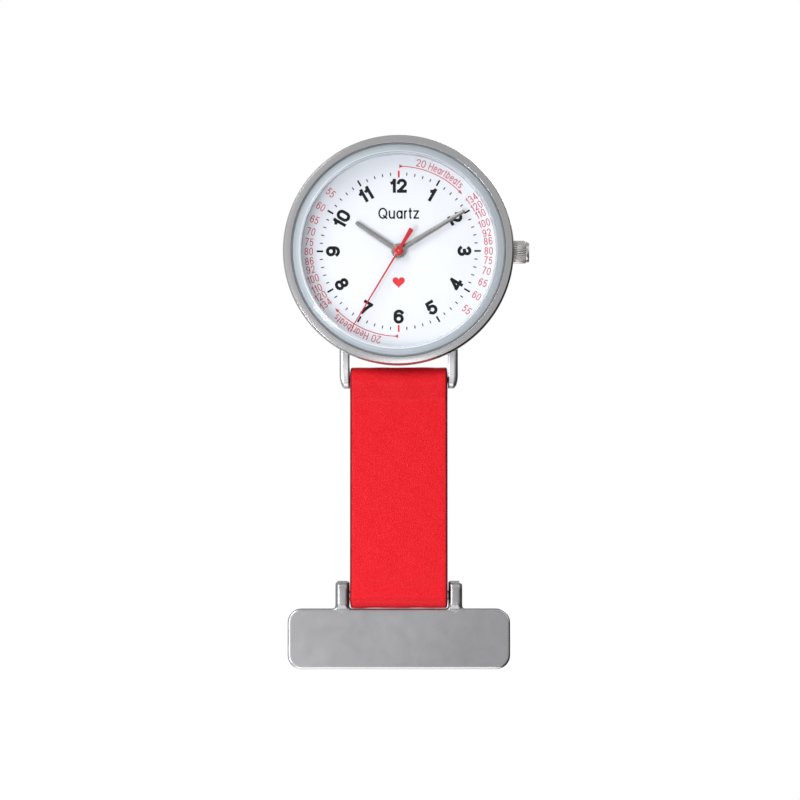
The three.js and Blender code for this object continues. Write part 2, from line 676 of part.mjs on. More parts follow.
function caseMiddle() {
  const shell = turned([
    [CASE_BORE, LEVEL.shell[0]],
    [SHELL.foot, LEVEL.shell[0]],
    [SHELL_RADIUS, SHELL.footTop],
    [SHELL_RADIUS, LEVEL.shell[1]],
    [SHELL.neck, LEVEL.shell[1]],
    [SHELL.neck, LEVEL.neckTop],
    [CASE_BORE, LEVEL.neckTop],
  ]);
  const { inner, outer, play } = BACK_GASKET;
  const grooveZ = [LEVEL.shell[0] - OVERCUT, LEVEL.caseBackGasket[1] + CLEARANCE];
  const gasketGroove = ring(inner - play, outer + play, grooveZ);
  const wall = through([CASE_BORE, SHELL_RADIUS]);
  const stemHole = barAlongX(TUBE.radius + CLEARANCE, wall, 0, STEM_Z, TUBE_SIDES);
  return piece("case_middle", "brushedSteel", cut(join(shell, lug(1), lug(-1)), gasketGroove, stemHole));
}

// Pressed over the case's neck; its inner lip holds the crystal's gasket.
const BEZEL = { neckBore: 17.95, lip: 17.65, bottom: 18.7, brink: 18.75, sideZ: [5.8, 6.9], slopeZ: 7.3 };

function bezel() {
  const [low, high] = LEVEL.bezel;
  return piece("bezel", "brushedSteel", turned([
    [BEZEL.neckBore, low],
    [BEZEL.bottom, low],
    [CASE_RADIUS, BEZEL.sideZ[0]],
    [CASE_RADIUS, BEZEL.sideZ[1]],
    [BEZEL.brink, BEZEL.slopeZ],
    [BEZEL.lip + 0.1, high],
    [BEZEL.lip, high - 0.1],
    [BEZEL.lip, LEVEL.crystalSeat],
    [BEZEL.neckBore, LEVEL.crystalSeat],
  ]));
}

const CRYSTAL = { radius: 17.35, bevel: 0.4 };

function crystal() {
  const [low, high] = LEVEL.crystal;
  return piece("crystal", "glass", turned([
    [0, low],
    [CRYSTAL.radius, low],
    [CRYSTAL.radius, high - CRYSTAL.bevel],
    [CRYSTAL.radius - CRYSTAL.bevel, high],
    [0, high],
  ]));
}

// A disc with a wall that snaps into the case.
const BACK = { flat: 16.9, radius: 17.4, edgeZ: 0.35, wall: [15.5, 16.3] };

function caseBack() {
  const [low, high] = LEVEL.caseBack;
  return piece("case_back", "brushedSteel", turned([
    [0, low],
    [BACK.flat, low],
    [BACK.radius, BACK.edgeZ],
    [BACK.radius, high],
    [BACK.wall[1], high],
    [BACK.wall[1], LEVEL.caseBackWall],
    [BACK.wall[0], LEVEL.caseBackWall],
    [BACK.wall[0], high],
    [0, high],
  ]));
}

const SEAL = { inner: 17.38, outer: 17.62 };
const REHAUT = { bottom: 15.95, top: 16.15, outer: 16.35 };
const WASHER = { inner: 0.85, outer: 1.6 };
const DIAL = { hole: 0.95, radius: 16.3 };

function smallRings() {
  const [low, high] = LEVEL.rehaut;
  const cone = [[REHAUT.bottom, low], [REHAUT.outer, low], [REHAUT.outer, high], [REHAUT.top, high]];
  const seal = ring(SEAL.inner, SEAL.outer, [LEVEL.crystalSeat, LEVEL.crystalGasketTop]);
  return [
    piece("case_back_gasket", "rubber", ring(BACK_GASKET.inner, BACK_GASKET.outer, LEVEL.caseBackGasket)),
    piece("crystal_gasket", "rubber", seal),
    piece("rehaut_ring", "polishedSteel", turned(cone)),
    piece("dial_washer", "brass", ring(WASHER.inner, WASHER.outer, LEVEL.dialWasher, PIN_SIDES)),
  ];
}

function dial() {
  return piece("dial", "whiteEnamel", ring(DIAL.hole, DIAL.radius, LEVEL.dial));
}

function springBar() {
  const barY = SPRING_BAR_Y - HEAD_Y;
  const barZ = HINGE_Z - HEAD_BACK_Z;
  const bar = join(
    barAlongX(ROD_RADIUS, [-SPRING_BAR.bodyX, SPRING_BAR.bodyX], barY, barZ),
    barAlongX(SPRING_BAR.tip, [-SPRING_BAR.tipX, SPRING_BAR.tipX], barY, barZ),
  );
  return piece("spring_bar", "springSteel", bar);
}

// ---- Strap --------------------------------------------------------------------------------------

const LOOP_RADIUS = ROD_RADIUS + LOOP_PLAY; // inside of the leather
const NECK_LENGTH = 5; // over which a loop closes to two layers lying together
const HOLE_REACH = 4.2; // how far a loop's hole runs towards the other rod

// Half the strap's thickness at a distance from the nearer rod.
function halfThickness(distance) {
  const blend = (1 + Math.cos((Math.PI * Math.min(distance, NECK_LENGTH)) / NECK_LENGTH)) / 2;
  return LEATHER + LOOP_RADIUS * blend;
}

// Points along one side of a loop, from the rod out to where it has closed, in [distance, half width].
function loopSide(offset, steps, reach) {
  const side = [];
  for (let step = 0; step <= steps; step += 1) {
    const distance = (reach * step) / steps;
    side.push([distance, halfThickness(distance) - offset]);
  }
  return side;
}

function loopEnd(radius, steps) {
  const end = [];
  for (let step = 1; step < steps; step += 1) {
    const angle = Math.PI / 2 + (Math.PI * step) / steps;
    end.push([radius * Math.cos(angle), radius * Math.sin(angle)]);
  }
  return end;
}

// The closed outline round one rod: out one side, back the other and round the end.
function teardrop(reach) {
  const side = loopSide(LEATHER, 6, reach);
  return [...side, ...mirrored(side).reverse(), ...loopEnd(LOOP_RADIUS, 8).reverse()];
}

function mirrored(points) {
  return points.map(([along, out]) => [along, -out]);
}

// One strip of leather, folded round both rods and glued to itself between them.
function strap() {
  const spot = (y, out) => new THREE.Vector2(y, HINGE_Z + out);
  const onRod = (points) => points.map(([along, out]) => spot(ROD_Y + along, out));
  const onBar = (points) => points.map(([along, out]) => spot(SPRING_BAR_Y - along, out));
  const side = loopSide(0, 6, NECK_LENGTH);
  const end = loopEnd(LOOP_RADIUS + LEATHER, 10);
  const outline = new THREE.Shape([
    ...onRod(end),
    ...onRod(mirrored(side)),
    ...onBar(mirrored(side)).reverse(),
    ...onBar(end).reverse(),
    ...onBar(side),
    ...onRod(side).reverse(),
  ]);
  outline.holes = [
    new THREE.Path(onRod(teardrop(HOLE_REACH))),
    new THREE.Path(onBar(teardrop(HOLE_REACH))),
  ];
  return piece("strap", "leather", alongX(outline, [-STRAP_WIDTH / 2, STRAP_WIDTH / 2]));
}

// ---- Brooch -------------------------------------------------------------------------------------

const BAR_LUG_ROOT = { flare: 0.6, depth: 1, inset: 0.1, flareInset: 0.02 };
const BROOCH_ROD_END = 9.8;

// The plate's front edge is bevelled, and its two lugs hold the lower rod.
function broochBar() {
  const bevel = BAR.bevel;
  const outline = roundedRectangle(BAR.width - 2 * bevel, BAR.height - 2 * bevel, BAR.corner - bevel);
  const plate = new THREE.ExtrudeGeometry(outline, {
    depth: BAR.frontZ - BAR.backZ - 2 * bevel,
    bevelThickness: bevel,
    bevelSize: bevel,
    bevelSegments: 1,
    curveSegments: 5,
  }).translate(0, 0, BAR.backZ + bevel);
  const half = BAR_LUG.thickness / 2;
  const edgeY = BAR.height / 2;
  const { flare, depth, inset, flareInset } = BAR_LUG_ROOT;
  const side = new THREE.Shape()
    .moveTo(edgeY - depth, BAR.backZ + inset)
    .lineTo(edgeY - bevel, BAR.backZ + flareInset)
    .lineTo(edgeY + flare, HINGE_Z - half)
    .absarc(BAR_LUG.topY - half, HINGE_Z, half, -Math.PI / 2, Math.PI / 2)
    .lineTo(edgeY + flare, HINGE_Z + half)
    .lineTo(edgeY - bevel, BAR.frontZ - flareInset)
    .lineTo(edgeY - depth, BAR.frontZ - inset);
  const lugs = [-1, 1].map((hand) => alongX(side, spanOf(hand, BAR_LUG.innerX, BAR_LUG.outerX)));
  const rodSpan = through([-BROOCH_ROD_END, BROOCH_ROD_END]);
  const rodHole = barAlongX(ROD_RADIUS + CLEARANCE, rodSpan, ROD_Y, HINGE_Z);
  return piece("brooch_bar", "polishedSteel", cut(join(plate, ...lugs), rodHole));
}

function broochRod() {
  const span = [-BROOCH_ROD_END, BROOCH_ROD_END];
  return piece("brooch_rod", "springSteel", barAlongX(ROD_RADIUS, span, ROD_Y, HINGE_Z));
}

const BASE = { halfLength: 13.2, halfWidth: 1.5, z: [2.08, 2.58] };
const BASE_ROOT = 2.3; // how deep the ears and the catch's post stand in the strip
const EAR = { inner: 0.7, outer: 1.1, radius: 1, sides: 20 };
const RIVET = { radius: 0.35, head: 0.6, headY: [1.13, 1.4] };
const CATCH = {
  bore: 0.6,
  radius: 0.95,
  flange: 1.4,
  flangeWidth: 0.3,
  halfLength: 1.2,
  slot: 0.5,
  post: 0.35,
  postZ: [0.7, BASE_ROOT],
};
const KNUCKLE = { radius: 0.85, halfWidth: 0.62 };
const NEEDLE_TIP = { radius: 0.12, length: 0.5, taper: 5, sides: 12 };

// A tube along x at the catch, open towards the wearer so that the needle can drop in.
function catchTube(radius, [low, high]) {
  return barAlongX(radius, [PIN.catchX + low, PIN.catchX + high], 0, 0, 24);
}

// The strip soldered to the bar's back: two ears at one end hold the hinge, the catch is at the other.
function pinBase() {
  const strip = box([-BASE.halfLength, BASE.halfLength], [-BASE.halfWidth, BASE.halfWidth], BASE.z);
  const ears = [-1, 1].map((hand) => {
    const span = spanOf(hand, EAR.inner, EAR.outer);
    return join(
      barAlongY(EAR.radius, span, PIN.hingeX, 0, EAR.sides),
      box([PIN.hingeX - EAR.radius, PIN.hingeX + EAR.radius], span, [0, BASE_ROOT]),
    );
  });
  const half = CATCH.halfLength;
  const rivetHole = barAlongY(RIVET.radius + CLEARANCE, through([-EAR.outer, EAR.outer]), PIN.hingeX, 0);
  const catchBody = join(
    catchTube(CATCH.radius, [-half, half]),
    catchTube(CATCH.flange, [-half, -half + CATCH.flangeWidth]),
    catchTube(CATCH.flange, [half - CATCH.flangeWidth, half]),
    box([PIN.catchX - half, PIN.catchX + half], [-CATCH.post, CATCH.post], CATCH.postZ),
  );
  const [low, high] = through([-half, half]);
  const mouthZ = [-CATCH.flange - OVERCUT, 0];
  const mouth = box([PIN.catchX + low, PIN.catchX + high], [-CATCH.slot, CATCH.slot], mouthZ);
  return piece("pin_base", "springSteel", cut(
    join(strip, ...ears, catchBody),
    rivetHole,
    catchTube(CATCH.bore, [low, high]),
    mouth,
  ));
}

function pinRivet() {
  return piece("pin_rivet", "springSteel", join(
    barAlongY(RIVET.radius, [-RIVET.headY[1], RIVET.headY[1]], PIN.hingeX, 0),
    barAlongY(RIVET.head, spanOf(-1, ...RIVET.headY), PIN.hingeX, 0),
    barAlongY(RIVET.head, spanOf(1, ...RIVET.headY), PIN.hingeX, 0),
  ));
}

function pinNeedle() {
  const rootX = PIN.hingeX - RIVET.radius - 0.15;
  const shaft = turned([
    [0, PIN.tipX],
    [NEEDLE_TIP.radius, PIN.tipX + NEEDLE_TIP.length],
    [PIN.radius, PIN.tipX + NEEDLE_TIP.taper],
    [PIN.radius, rootX],
    [0, rootX],
  ], NEEDLE_TIP.sides).rotateY(Math.PI / 2);
  const span = [-KNUCKLE.halfWidth, KNUCKLE.halfWidth];
  const knuckle = barAlongY(KNUCKLE.radius, span, PIN.hingeX, 0);
  const bore = barAlongY(RIVET.radius + CLEARANCE, through(span), PIN.hingeX, 0);
  return piece("pin_needle", "polishedSteel", cut(join(knuckle, shaft), bore));
}

const SLEEVE = { inner: 0.99, outer: 1.36, halfLength: 0.86, from: 35, to: 150, steps: 12 };

// Part of a tube that turns on the catch to close its mouth, with a thumb tab on its edge.
function catchSleeve() {
  const arc = (radius, degrees) => {
    const angle = THREE.MathUtils.degToRad(90 + degrees);
    return new THREE.Vector2(-radius * Math.cos(angle), radius * Math.sin(angle));
  };
  const angles = [];
  for (let step = 0; step <= SLEEVE.steps; step += 1) {
    angles.push(SLEEVE.from + ((SLEEVE.to - SLEEVE.from) * step) / SLEEVE.steps);
  }
  const tabAngle = 60;
  const tab = [
    arc(SLEEVE.outer, tabAngle + 8),
    arc(SLEEVE.outer + 0.9, tabAngle + 6),
    arc(SLEEVE.outer + 0.9, tabAngle - 6),
    arc(SLEEVE.outer, tabAngle - 8),
  ];
  const outer = angles.map((angle) => arc(SLEEVE.outer, angle));
  const inner = angles.map((angle) => arc(SLEEVE.inner, angle));
  const span = [PIN.catchX - SLEEVE.halfLength, PIN.catchX + SLEEVE.halfLength];
  const shell = alongX(new THREE.Shape([...inner, ...outer.reverse()]), span);
  const thumb = alongX(new THREE.Shape([...tab, arc(SLEEVE.inner + 0.1, tabAngle)]), span);
  return piece("catch_sleeve", "brass", join(shell, thumb));
}

// ---- Assembly -----------------------------------------------------------------------------------

const head = new THREE.Group();
head.position.set(0, HEAD_Y, HEAD_BACK_Z);
head.add(
  caseMiddle(),
  bezel(),
  crystal(),
  caseBack(),
  ...smallRings(),
  dial(),
  movementHolder(),
  mainPlate(),
  trainBridge(),
  ...bridgeScrews(),
  stator(),
  coil(),
  ...electronics(),
  crownTube(),
  springBar(),
  crown(),
  settingStem(),
  clutchWheel(),
  crownGasket(),
  settingLever(),
  rotor(),
  fifthWheel(),
  fourthWheel(),
  thirdWheel(),
  centreWheel(),
  cannonPinion(),
  minuteWheel(),
  hourWheel(),
  flatHand("hour_hand", LEVEL.hourHand, HOUR_HAND, HOUR_TUBE.radius + CLEARANCE, HOUR_ANGLE),
  flatHand("minute_hand", LEVEL.minuteHand, MINUTE_HAND, CANNON.radius + CLEARANCE, MINUTE_ANGLE),
  secondHand(),
);

const watch = new THREE.Group();
watch.name = "fob_watch";
watch.add(head, strap(), broochBar(), broochRod(), pinBase(), pinRivet(), pinNeedle(), catchSleeve());

// Hang the watch: x becomes -X, z becomes -Y and y becomes -Z.
watch.rotation.set(Math.PI / 2, Math.PI, 0, "YXZ");

export default watch;
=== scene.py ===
"""Looks of a nurse's fob watch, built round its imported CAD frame.

Shapes are worked out in the watch's own face frame, in millimetres: x to the right of the dial,
y towards 12 o'clock, z out of the dial, with the origin on the brooch needle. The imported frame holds
the watch as it hangs, in metres, so every mesh is turned into that frame when its piece is made.
"""

import json
import math

import bmesh
import bpy
import numpy as np
from mathutils import Matrix, Vector
from mathutils.geometry import delaunay_2d_cdt

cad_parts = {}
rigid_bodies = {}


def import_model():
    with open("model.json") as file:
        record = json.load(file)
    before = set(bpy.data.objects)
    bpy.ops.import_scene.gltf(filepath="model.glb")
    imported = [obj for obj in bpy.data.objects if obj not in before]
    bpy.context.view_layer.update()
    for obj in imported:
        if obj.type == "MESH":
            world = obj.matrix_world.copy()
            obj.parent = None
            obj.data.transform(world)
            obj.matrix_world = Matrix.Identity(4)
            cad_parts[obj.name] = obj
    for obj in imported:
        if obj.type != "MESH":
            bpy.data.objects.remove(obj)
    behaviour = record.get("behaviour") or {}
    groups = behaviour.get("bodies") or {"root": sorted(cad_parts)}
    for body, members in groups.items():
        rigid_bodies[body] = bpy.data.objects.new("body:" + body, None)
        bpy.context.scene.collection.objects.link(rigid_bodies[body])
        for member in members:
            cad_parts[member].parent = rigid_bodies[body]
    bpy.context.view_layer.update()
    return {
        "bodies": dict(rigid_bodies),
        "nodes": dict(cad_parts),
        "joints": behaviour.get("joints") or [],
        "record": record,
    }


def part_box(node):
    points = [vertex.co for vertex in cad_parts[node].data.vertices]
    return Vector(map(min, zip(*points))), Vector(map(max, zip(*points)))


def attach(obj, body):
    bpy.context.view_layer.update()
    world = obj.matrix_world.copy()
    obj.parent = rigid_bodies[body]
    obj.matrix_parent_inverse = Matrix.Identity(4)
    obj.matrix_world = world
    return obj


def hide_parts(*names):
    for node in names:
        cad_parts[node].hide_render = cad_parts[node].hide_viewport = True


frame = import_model()

MM = 0.001
HANGING = Matrix(((-MM, 0, 0, 0), (0, 0, -MM, 0), (0, -MM, 0, 0), (0, 0, 0, 1)))
FULL_TURN = 2 * math.pi


def extent(node):
    """Lowest and highest corner of a CAD node in the face frame, in millimetres."""
    low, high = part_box(node)
    return Vector((-high.x, -high.z, -high.y)) / MM, Vector((-low.x, -low.z, -low.y)) / MM


# --- driving dimensions, read from the frame ---------------------------------------------------

BEZEL_LOW, BEZEL_HIGH = extent("bezel")
BEZEL_R = (BEZEL_HIGH.x - BEZEL_LOW.x) / 2
HEAD_Y = (BEZEL_HIGH.y + BEZEL_LOW.y) / 2
BEZEL_TOP = BEZEL_HIGH.z
CRYSTAL_LOW, CRYSTAL_HIGH = extent("crystal")
CRYSTAL_R = CRYSTAL_HIGH.x
DIAL_LOW, DIAL_HIGH = extent("dial")
DIAL_R = DIAL_HIGH.x
DIAL_TOP = DIAL_HIGH.z
CASE_LOW, CASE_HIGH = extent("case_middle")
BAR_LOW, BAR_HIGH = extent("brooch_bar")
ROD_LOW, ROD_HIGH = extent("brooch_rod")
SPRING_LOW, SPRING_HIGH = extent("spring_bar")
STRAP_LOW, STRAP_HIGH = extent("strap")
CROWN_LOW, CROWN_HIGH = extent("crown")
STRAP_Z = (STRAP_HIGH.z + STRAP_LOW.z) / 2
ROD_R = (ROD_HIGH.z - ROD_LOW.z) / 2
BROOCH_ROD_Y = (ROD_HIGH.y + ROD_LOW.y) / 2
SPRING_BAR_Y = (SPRING_HIGH.y + SPRING_LOW.y) / 2
ON_HEAD = Matrix.Translation((0, HEAD_Y, 0))
ON_HEAD_POINT = (0, HEAD_Y, 0)

# --- geometry helpers --------------------------------------------------------------------------


def pairs(outline):
    """Each point of a closed outline with the one after it."""
    return zip(outline, outline[1:] + outline[:1])


def polar(radius, degrees):
    """A point on the dial, by its radius and its angle clockwise from 12."""
    angle = math.radians(degrees)
    return Vector((radius * math.sin(angle), radius * math.cos(angle)))


def arc(x, y, rx, ry, start, end, steps=14):
    """Points on an ellipse from start to end, in degrees anticlockwise from +x."""
    angles = np.radians(np.linspace(start, end, steps + 1))
    return [(x + rx * math.cos(a), y + ry * math.sin(a)) for a in angles]


def rounded(corners, step=15):
    """A polyline through (u, v, radius) corners, with an arc of that radius at each one."""
    points = []
    for i, (u, v, radius) in enumerate(corners):
        here = Vector((u, v))
        before = Vector(corners[i - 1][:2]) - here
        after = Vector(corners[(i + 1) % len(corners)][:2]) - here
        before.normalize()
        after.normalize()
        turn = math.pi - before.angle(after, math.pi)
        if radius == 0 or turn < 0.01:
            points.append((u, v))
            continue
        centre = here + (before + after).normalized() * radius / math.cos(turn / 2)
        start = here + before * radius * math.tan(turn / 2) - centre
        side = math.copysign(1, before.y * after.x - before.x * after.y)
        count = max(2, math.ceil(math.degrees(turn) / step))
        for k in range(count + 1):
            spoke = Matrix.Rotation(side * turn * k / count, 2) @ start
            points.append(tuple(centre + spoke))
    return points


def skin(rings, closed_path, closed_ring=True):
    """Points and quads of a skin over rings of equally many points."""
    count = len(rings[0])
    faces = []
    for i in range(len(rings) if closed_path else len(rings) - 1):
        here, there = i * count, (i + 1) % len(rings) * count
        for j in range(count if closed_ring else count - 1):
            k = (j + 1) % count
            faces.append((here + j, here + k, there + k, there + j))
    return [p for ring in rings for p in ring], faces


def turned(profile, place, sides=192, closed=True):
    """A (radius, height) profile turned about place's z axis."""
    turns = [FULL_TURN * i / sides for i in range(sides)]
    rings = [[place @ Vector((r * math.cos(t), r * math.sin(t), h)) for r, h in profile] for t in turns]
    return skin(rings, True, closed)


def swept(rings):
    """A skin over rings, closed with a flat face at each end."""
    points, faces = skin(rings, False)
    count = len(rings[0])
    ends = [tuple(range(count)), tuple(range(len(points) - count, len(points)))]
    return points, faces + ends


def anticlockwise(outline):
    """The outline, reversed if it runs clockwise."""
    area = sum(a[0] * b[1] - b[0] * a[1] for a, b in pairs(outline))
    return outline if area > 0 else outline[::-1]


def covered(shapes, extra=()):
    """Points and triangles that cover closed outlines, joined where they overlap."""
    points, faces = [], []
    for shape in shapes:
        start = len(points)
        points += [Vector(p) for p in anticlockwise([tuple(p) for p in shape])]
        faces.append(list(range(start, len(points))))
    points += [Vector(p) for p in extra]
    found = delaunay_2d_cdt(points, [], faces, 1, 1e-5)
    points, triangles = found[0], found[2]
    middles = [(points[a] + points[b] + points[c]) / 3 for a, b, c in triangles]
    kept = np.zeros(len(triangles), bool)
    for shape in shapes:
        kept |= inside([tuple(p) for p in shape], middles)
    return points, [t for t, keep in zip(triangles, kept) if keep]


def rim_edges(triangles):
    """The directed edges that only one triangle has."""
    edges = {(t[i], t[(i + 1) % 3]) for t in triangles for i in range(3)}
    return [(a, b) for a, b in edges if (b, a) not in edges]


def between(points, triangles, top, bottom):
    """A closed body over flat triangles: top and bottom give each point's two heights."""
    count = len(points)
    body = [Vector((p.x, p.y, z)) for p, z in zip(points, top)]
    body += [Vector((p.x, p.y, z)) for p, z in zip(points, bottom)]
    faces = [tuple(t) for t in triangles]
    faces += [tuple(i + count for i in reversed(t)) for t in triangles]
    faces += [(b, a, a + count, b + count) for a, b in rim_edges(triangles)]
    return body, faces


def slab(shapes, low, high):
    """A closed flat body that covers the outlines between two heights."""
    points, triangles = covered(shapes)
    return between(points, triangles, [high] * len(points), [low] * len(points))


def distance_to(outline, spots):
    """Each spot's distance to a closed outline."""
    start = np.array(outline, float)
    along = np.roll(start, -1, axis=0) - start
    spots = np.array(spots, float)
    offset = spots[:, None] - start[None]
    share = np.clip((offset * along).sum(2) / (along**2).sum(1), 0, 1)
    return np.linalg.norm(offset - share[..., None] * along, axis=2).min(1)


def densified(outline, step):
    """The outline with points no further apart than step."""
    dense = []
    for a, b in pairs(outline):
        a, b = Vector(a), Vector(b)
        count = max(1, math.ceil((b - a).length / step))
        dense += [tuple(a.lerp(b, k / count)) for k in range(count)]
    return dense


def inside(outline, spots):
    """Which spots lie inside a closed outline."""
    spots = np.array(spots, float)
    found = np.zeros(len(spots), bool)
    for (ax, ay), (bx, by) in pairs(outline):
        if ay == by:
            continue
        crosses = (ay > spots[:, 1]) != (by > spots[:, 1])
        x = ax + (spots[:, 1] - ay) * (bx - ax) / (by - ay)
        found ^= crosses & (spots[:, 0] < x)
    return found


# How far in from its outline a cushioned plate has rings of points, to round its rims evenly.
RIM_INSETS = (0.02, 0.06, 0.12, 0.2, 0.3, 0.42, 0.56, 0.72)
RING_SLACK = 0.006
RIM_TO_GRID = 0.1


def cushioned(outline, middle, half, edge, step=0.5, fine=0.16, power=2.0):
    """A closed plate with rounded rims. At each point, middle, half and edge give the height of its
    middle plane, half of its thickness and the radius of its rims. A power of 2 rounds a rim as an
    arc; towards 1 it becomes a chamfer."""
    outline = densified(outline, fine)
    ring = np.array(anticlockwise(outline))
    ahead = np.roll(ring, -1, axis=0) - np.roll(ring, 1, axis=0)
    inward = np.stack([-ahead[:, 1], ahead[:, 0]], 1) / np.linalg.norm(ahead, axis=1)[:, None]
    spots = np.concatenate([ring + inward * d for d in RIM_INSETS])
    depth = np.repeat(RIM_INSETS, len(ring))
    spots = spots[inside(outline, spots) & (distance_to(outline, spots) > depth - RING_SLACK)]
    low, high = ring.min(0), ring.max(0)
    grid = np.stack(
        np.meshgrid(np.arange(low[0], high[0], step), np.arange(low[1], high[1], step)), -1
    ).reshape(-1, 2)
    grid = grid[inside(outline, grid)]
    grid = grid[distance_to(outline, grid) > RIM_INSETS[-1] + RIM_TO_GRID]
    points, triangles = covered([outline], [*map(tuple, spots), *map(tuple, grid)])
    rim = distance_to(outline, [tuple(p) for p in points])
    top, bottom = [], []
    for p, d in zip(points, rim):
        radius = min(edge(p), 0.95 * half(p))
        gone = max(0.0, 1 - d / radius) if radius > 0 else 0.0
        rise = half(p) - radius + radius * max(0.0, 1 - gone**power) ** (1 / power)
        top.append(middle(p) + rise)
        bottom.append(middle(p) - rise)
    return between(points, triangles, top, bottom)


def smooth_step(value, low, high):
    """0 below low, 1 above high, and an even turn between them."""
    t = min(1.0, max(0.0, (value - low) / (high - low)))
    return t * t * (3 - 2 * t)


def along_x(x=0.0, y=0.0, z=0.0):
    """A place whose z axis points to +x of the face."""
    return Matrix.Translation((x, y, z)) @ Matrix.Rotation(math.pi / 2, 4, "Y")


def along_y(x=0.0, y=0.0, z=0.0):
    """A place whose z axis points to +y of the face, its x axis to +z and its y axis to +x."""
    return Matrix.Translation((x, y, z)) @ Matrix(((0, 1, 0), (0, 0, 1), (1, 0, 0))).to_4x4()


def across(x=0.0, y=0.0, z=0.0):
    """A place whose z axis points to +x of the face, its x axis to +y and its y axis to +z."""
    return Matrix.Translation((x, y, z)) @ Matrix(((0, 0, 1), (1, 0, 0), (0, 1, 0))).to_4x4()


def placed(name, data, spot=(0, 0, 0)):
    """A new object in the scene."""
    thing = bpy.data.objects.new(name, data)
    thing.location = spot
    bpy.context.scene.collection.objects.link(thing)
    return thing


def made(name, parts, body, slot, node=None, origin=(0, 0, 0), crease=32):
    """A piece from parts in the face frame, which rides on a body and stands for a CAD node.

    A part is (points, faces), with its slot's finish, or (points, faces, finish), where finish is one
    material or a list with one for each face. The piece's own origin is the given face point."""
    materials = []
    mesh = bmesh.new()
    for points, faces, *finish in parts:
        finish = finish[0] if finish else FINISHES[slot]
        finishes = finish if isinstance(finish, list) else [finish] * len(faces)
        part = bmesh.new()
        corners = [part.verts.new(p) for p in points]
        for face, material in zip(faces, finishes):
            if material not in materials:
                materials.append(material)
            made_face = part.faces.new([corners[i] for i in face])
            made_face.material_index = materials.index(material)
            made_face.smooth = True
        bmesh.ops.remove_doubles(part, verts=part.verts, dist=1e-4)
        bmesh.ops.recalc_face_normals(part, faces=part.faces)
        scratch = bpy.data.meshes.new("part")
        part.to_mesh(scratch)
        mesh.from_mesh(scratch)
        part.free()
        bpy.data.meshes.remove(scratch)
    shift = HANGING @ Vector(origin)
    mesh.transform(Matrix.Translation(-shift) @ HANGING)
    data = bpy.data.meshes.new(name)
    mesh.to_mesh(data)
    mesh.free()
    data.set_sharp_from_angle(angle=math.radians(crease))
    for material in materials:
        data.materials.append(material)
    thing = placed(name, data, shift)
    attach(thing, body)
    if node:
        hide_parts(node)


# --- material helpers --------------------------------------------------------------------------


class Tree:
    """A node tree that is built node by node."""

    def __init__(self, tree):
        self.nodes = tree.nodes
        self.links = tree.links

    def add(self, kind, inputs, **settings):
        """A new node's first output. Its inputs, by name or number, are values or other outputs."""
        node = self.nodes.new("ShaderNode" + kind)
        for key, value in settings.items():
            setattr(node, key, value)
        for key, value in inputs.items():
            self.feed(node.inputs[key], value)
        return node.outputs[0]

    def feed(self, socket, value):
        """Gives a socket a plain value or links another node's output to it."""
        if isinstance(value, bpy.types.NodeSocket):
            self.links.new(value, socket)
        else:
            socket.default_value = value

    def ramp(self, value, start, end, low, high, **settings):
        """low up to value's start, high from its end, and what lies between."""
        inputs = {"Value": value, "From Min": start, "From Max": end, "To Min": low, "To Max": high}
        return self.add("MapRange", inputs, **settings)

    def maths(self, operation, a, b):
        return self.add("Math", {0: a, 1: b}, operation=operation)

    def split(self, vector):
        """The x, y and z of a vector."""
        node = self.nodes.new("ShaderNodeSeparateXYZ")
        self.links.new(vector, node.inputs[0])
        return node.outputs

    def place(self, frame="Object"):
        """The shaded point in the piece's own frame, or another output of the coordinates."""
        return self.nodes.new("ShaderNodeTexCoord").outputs[frame]


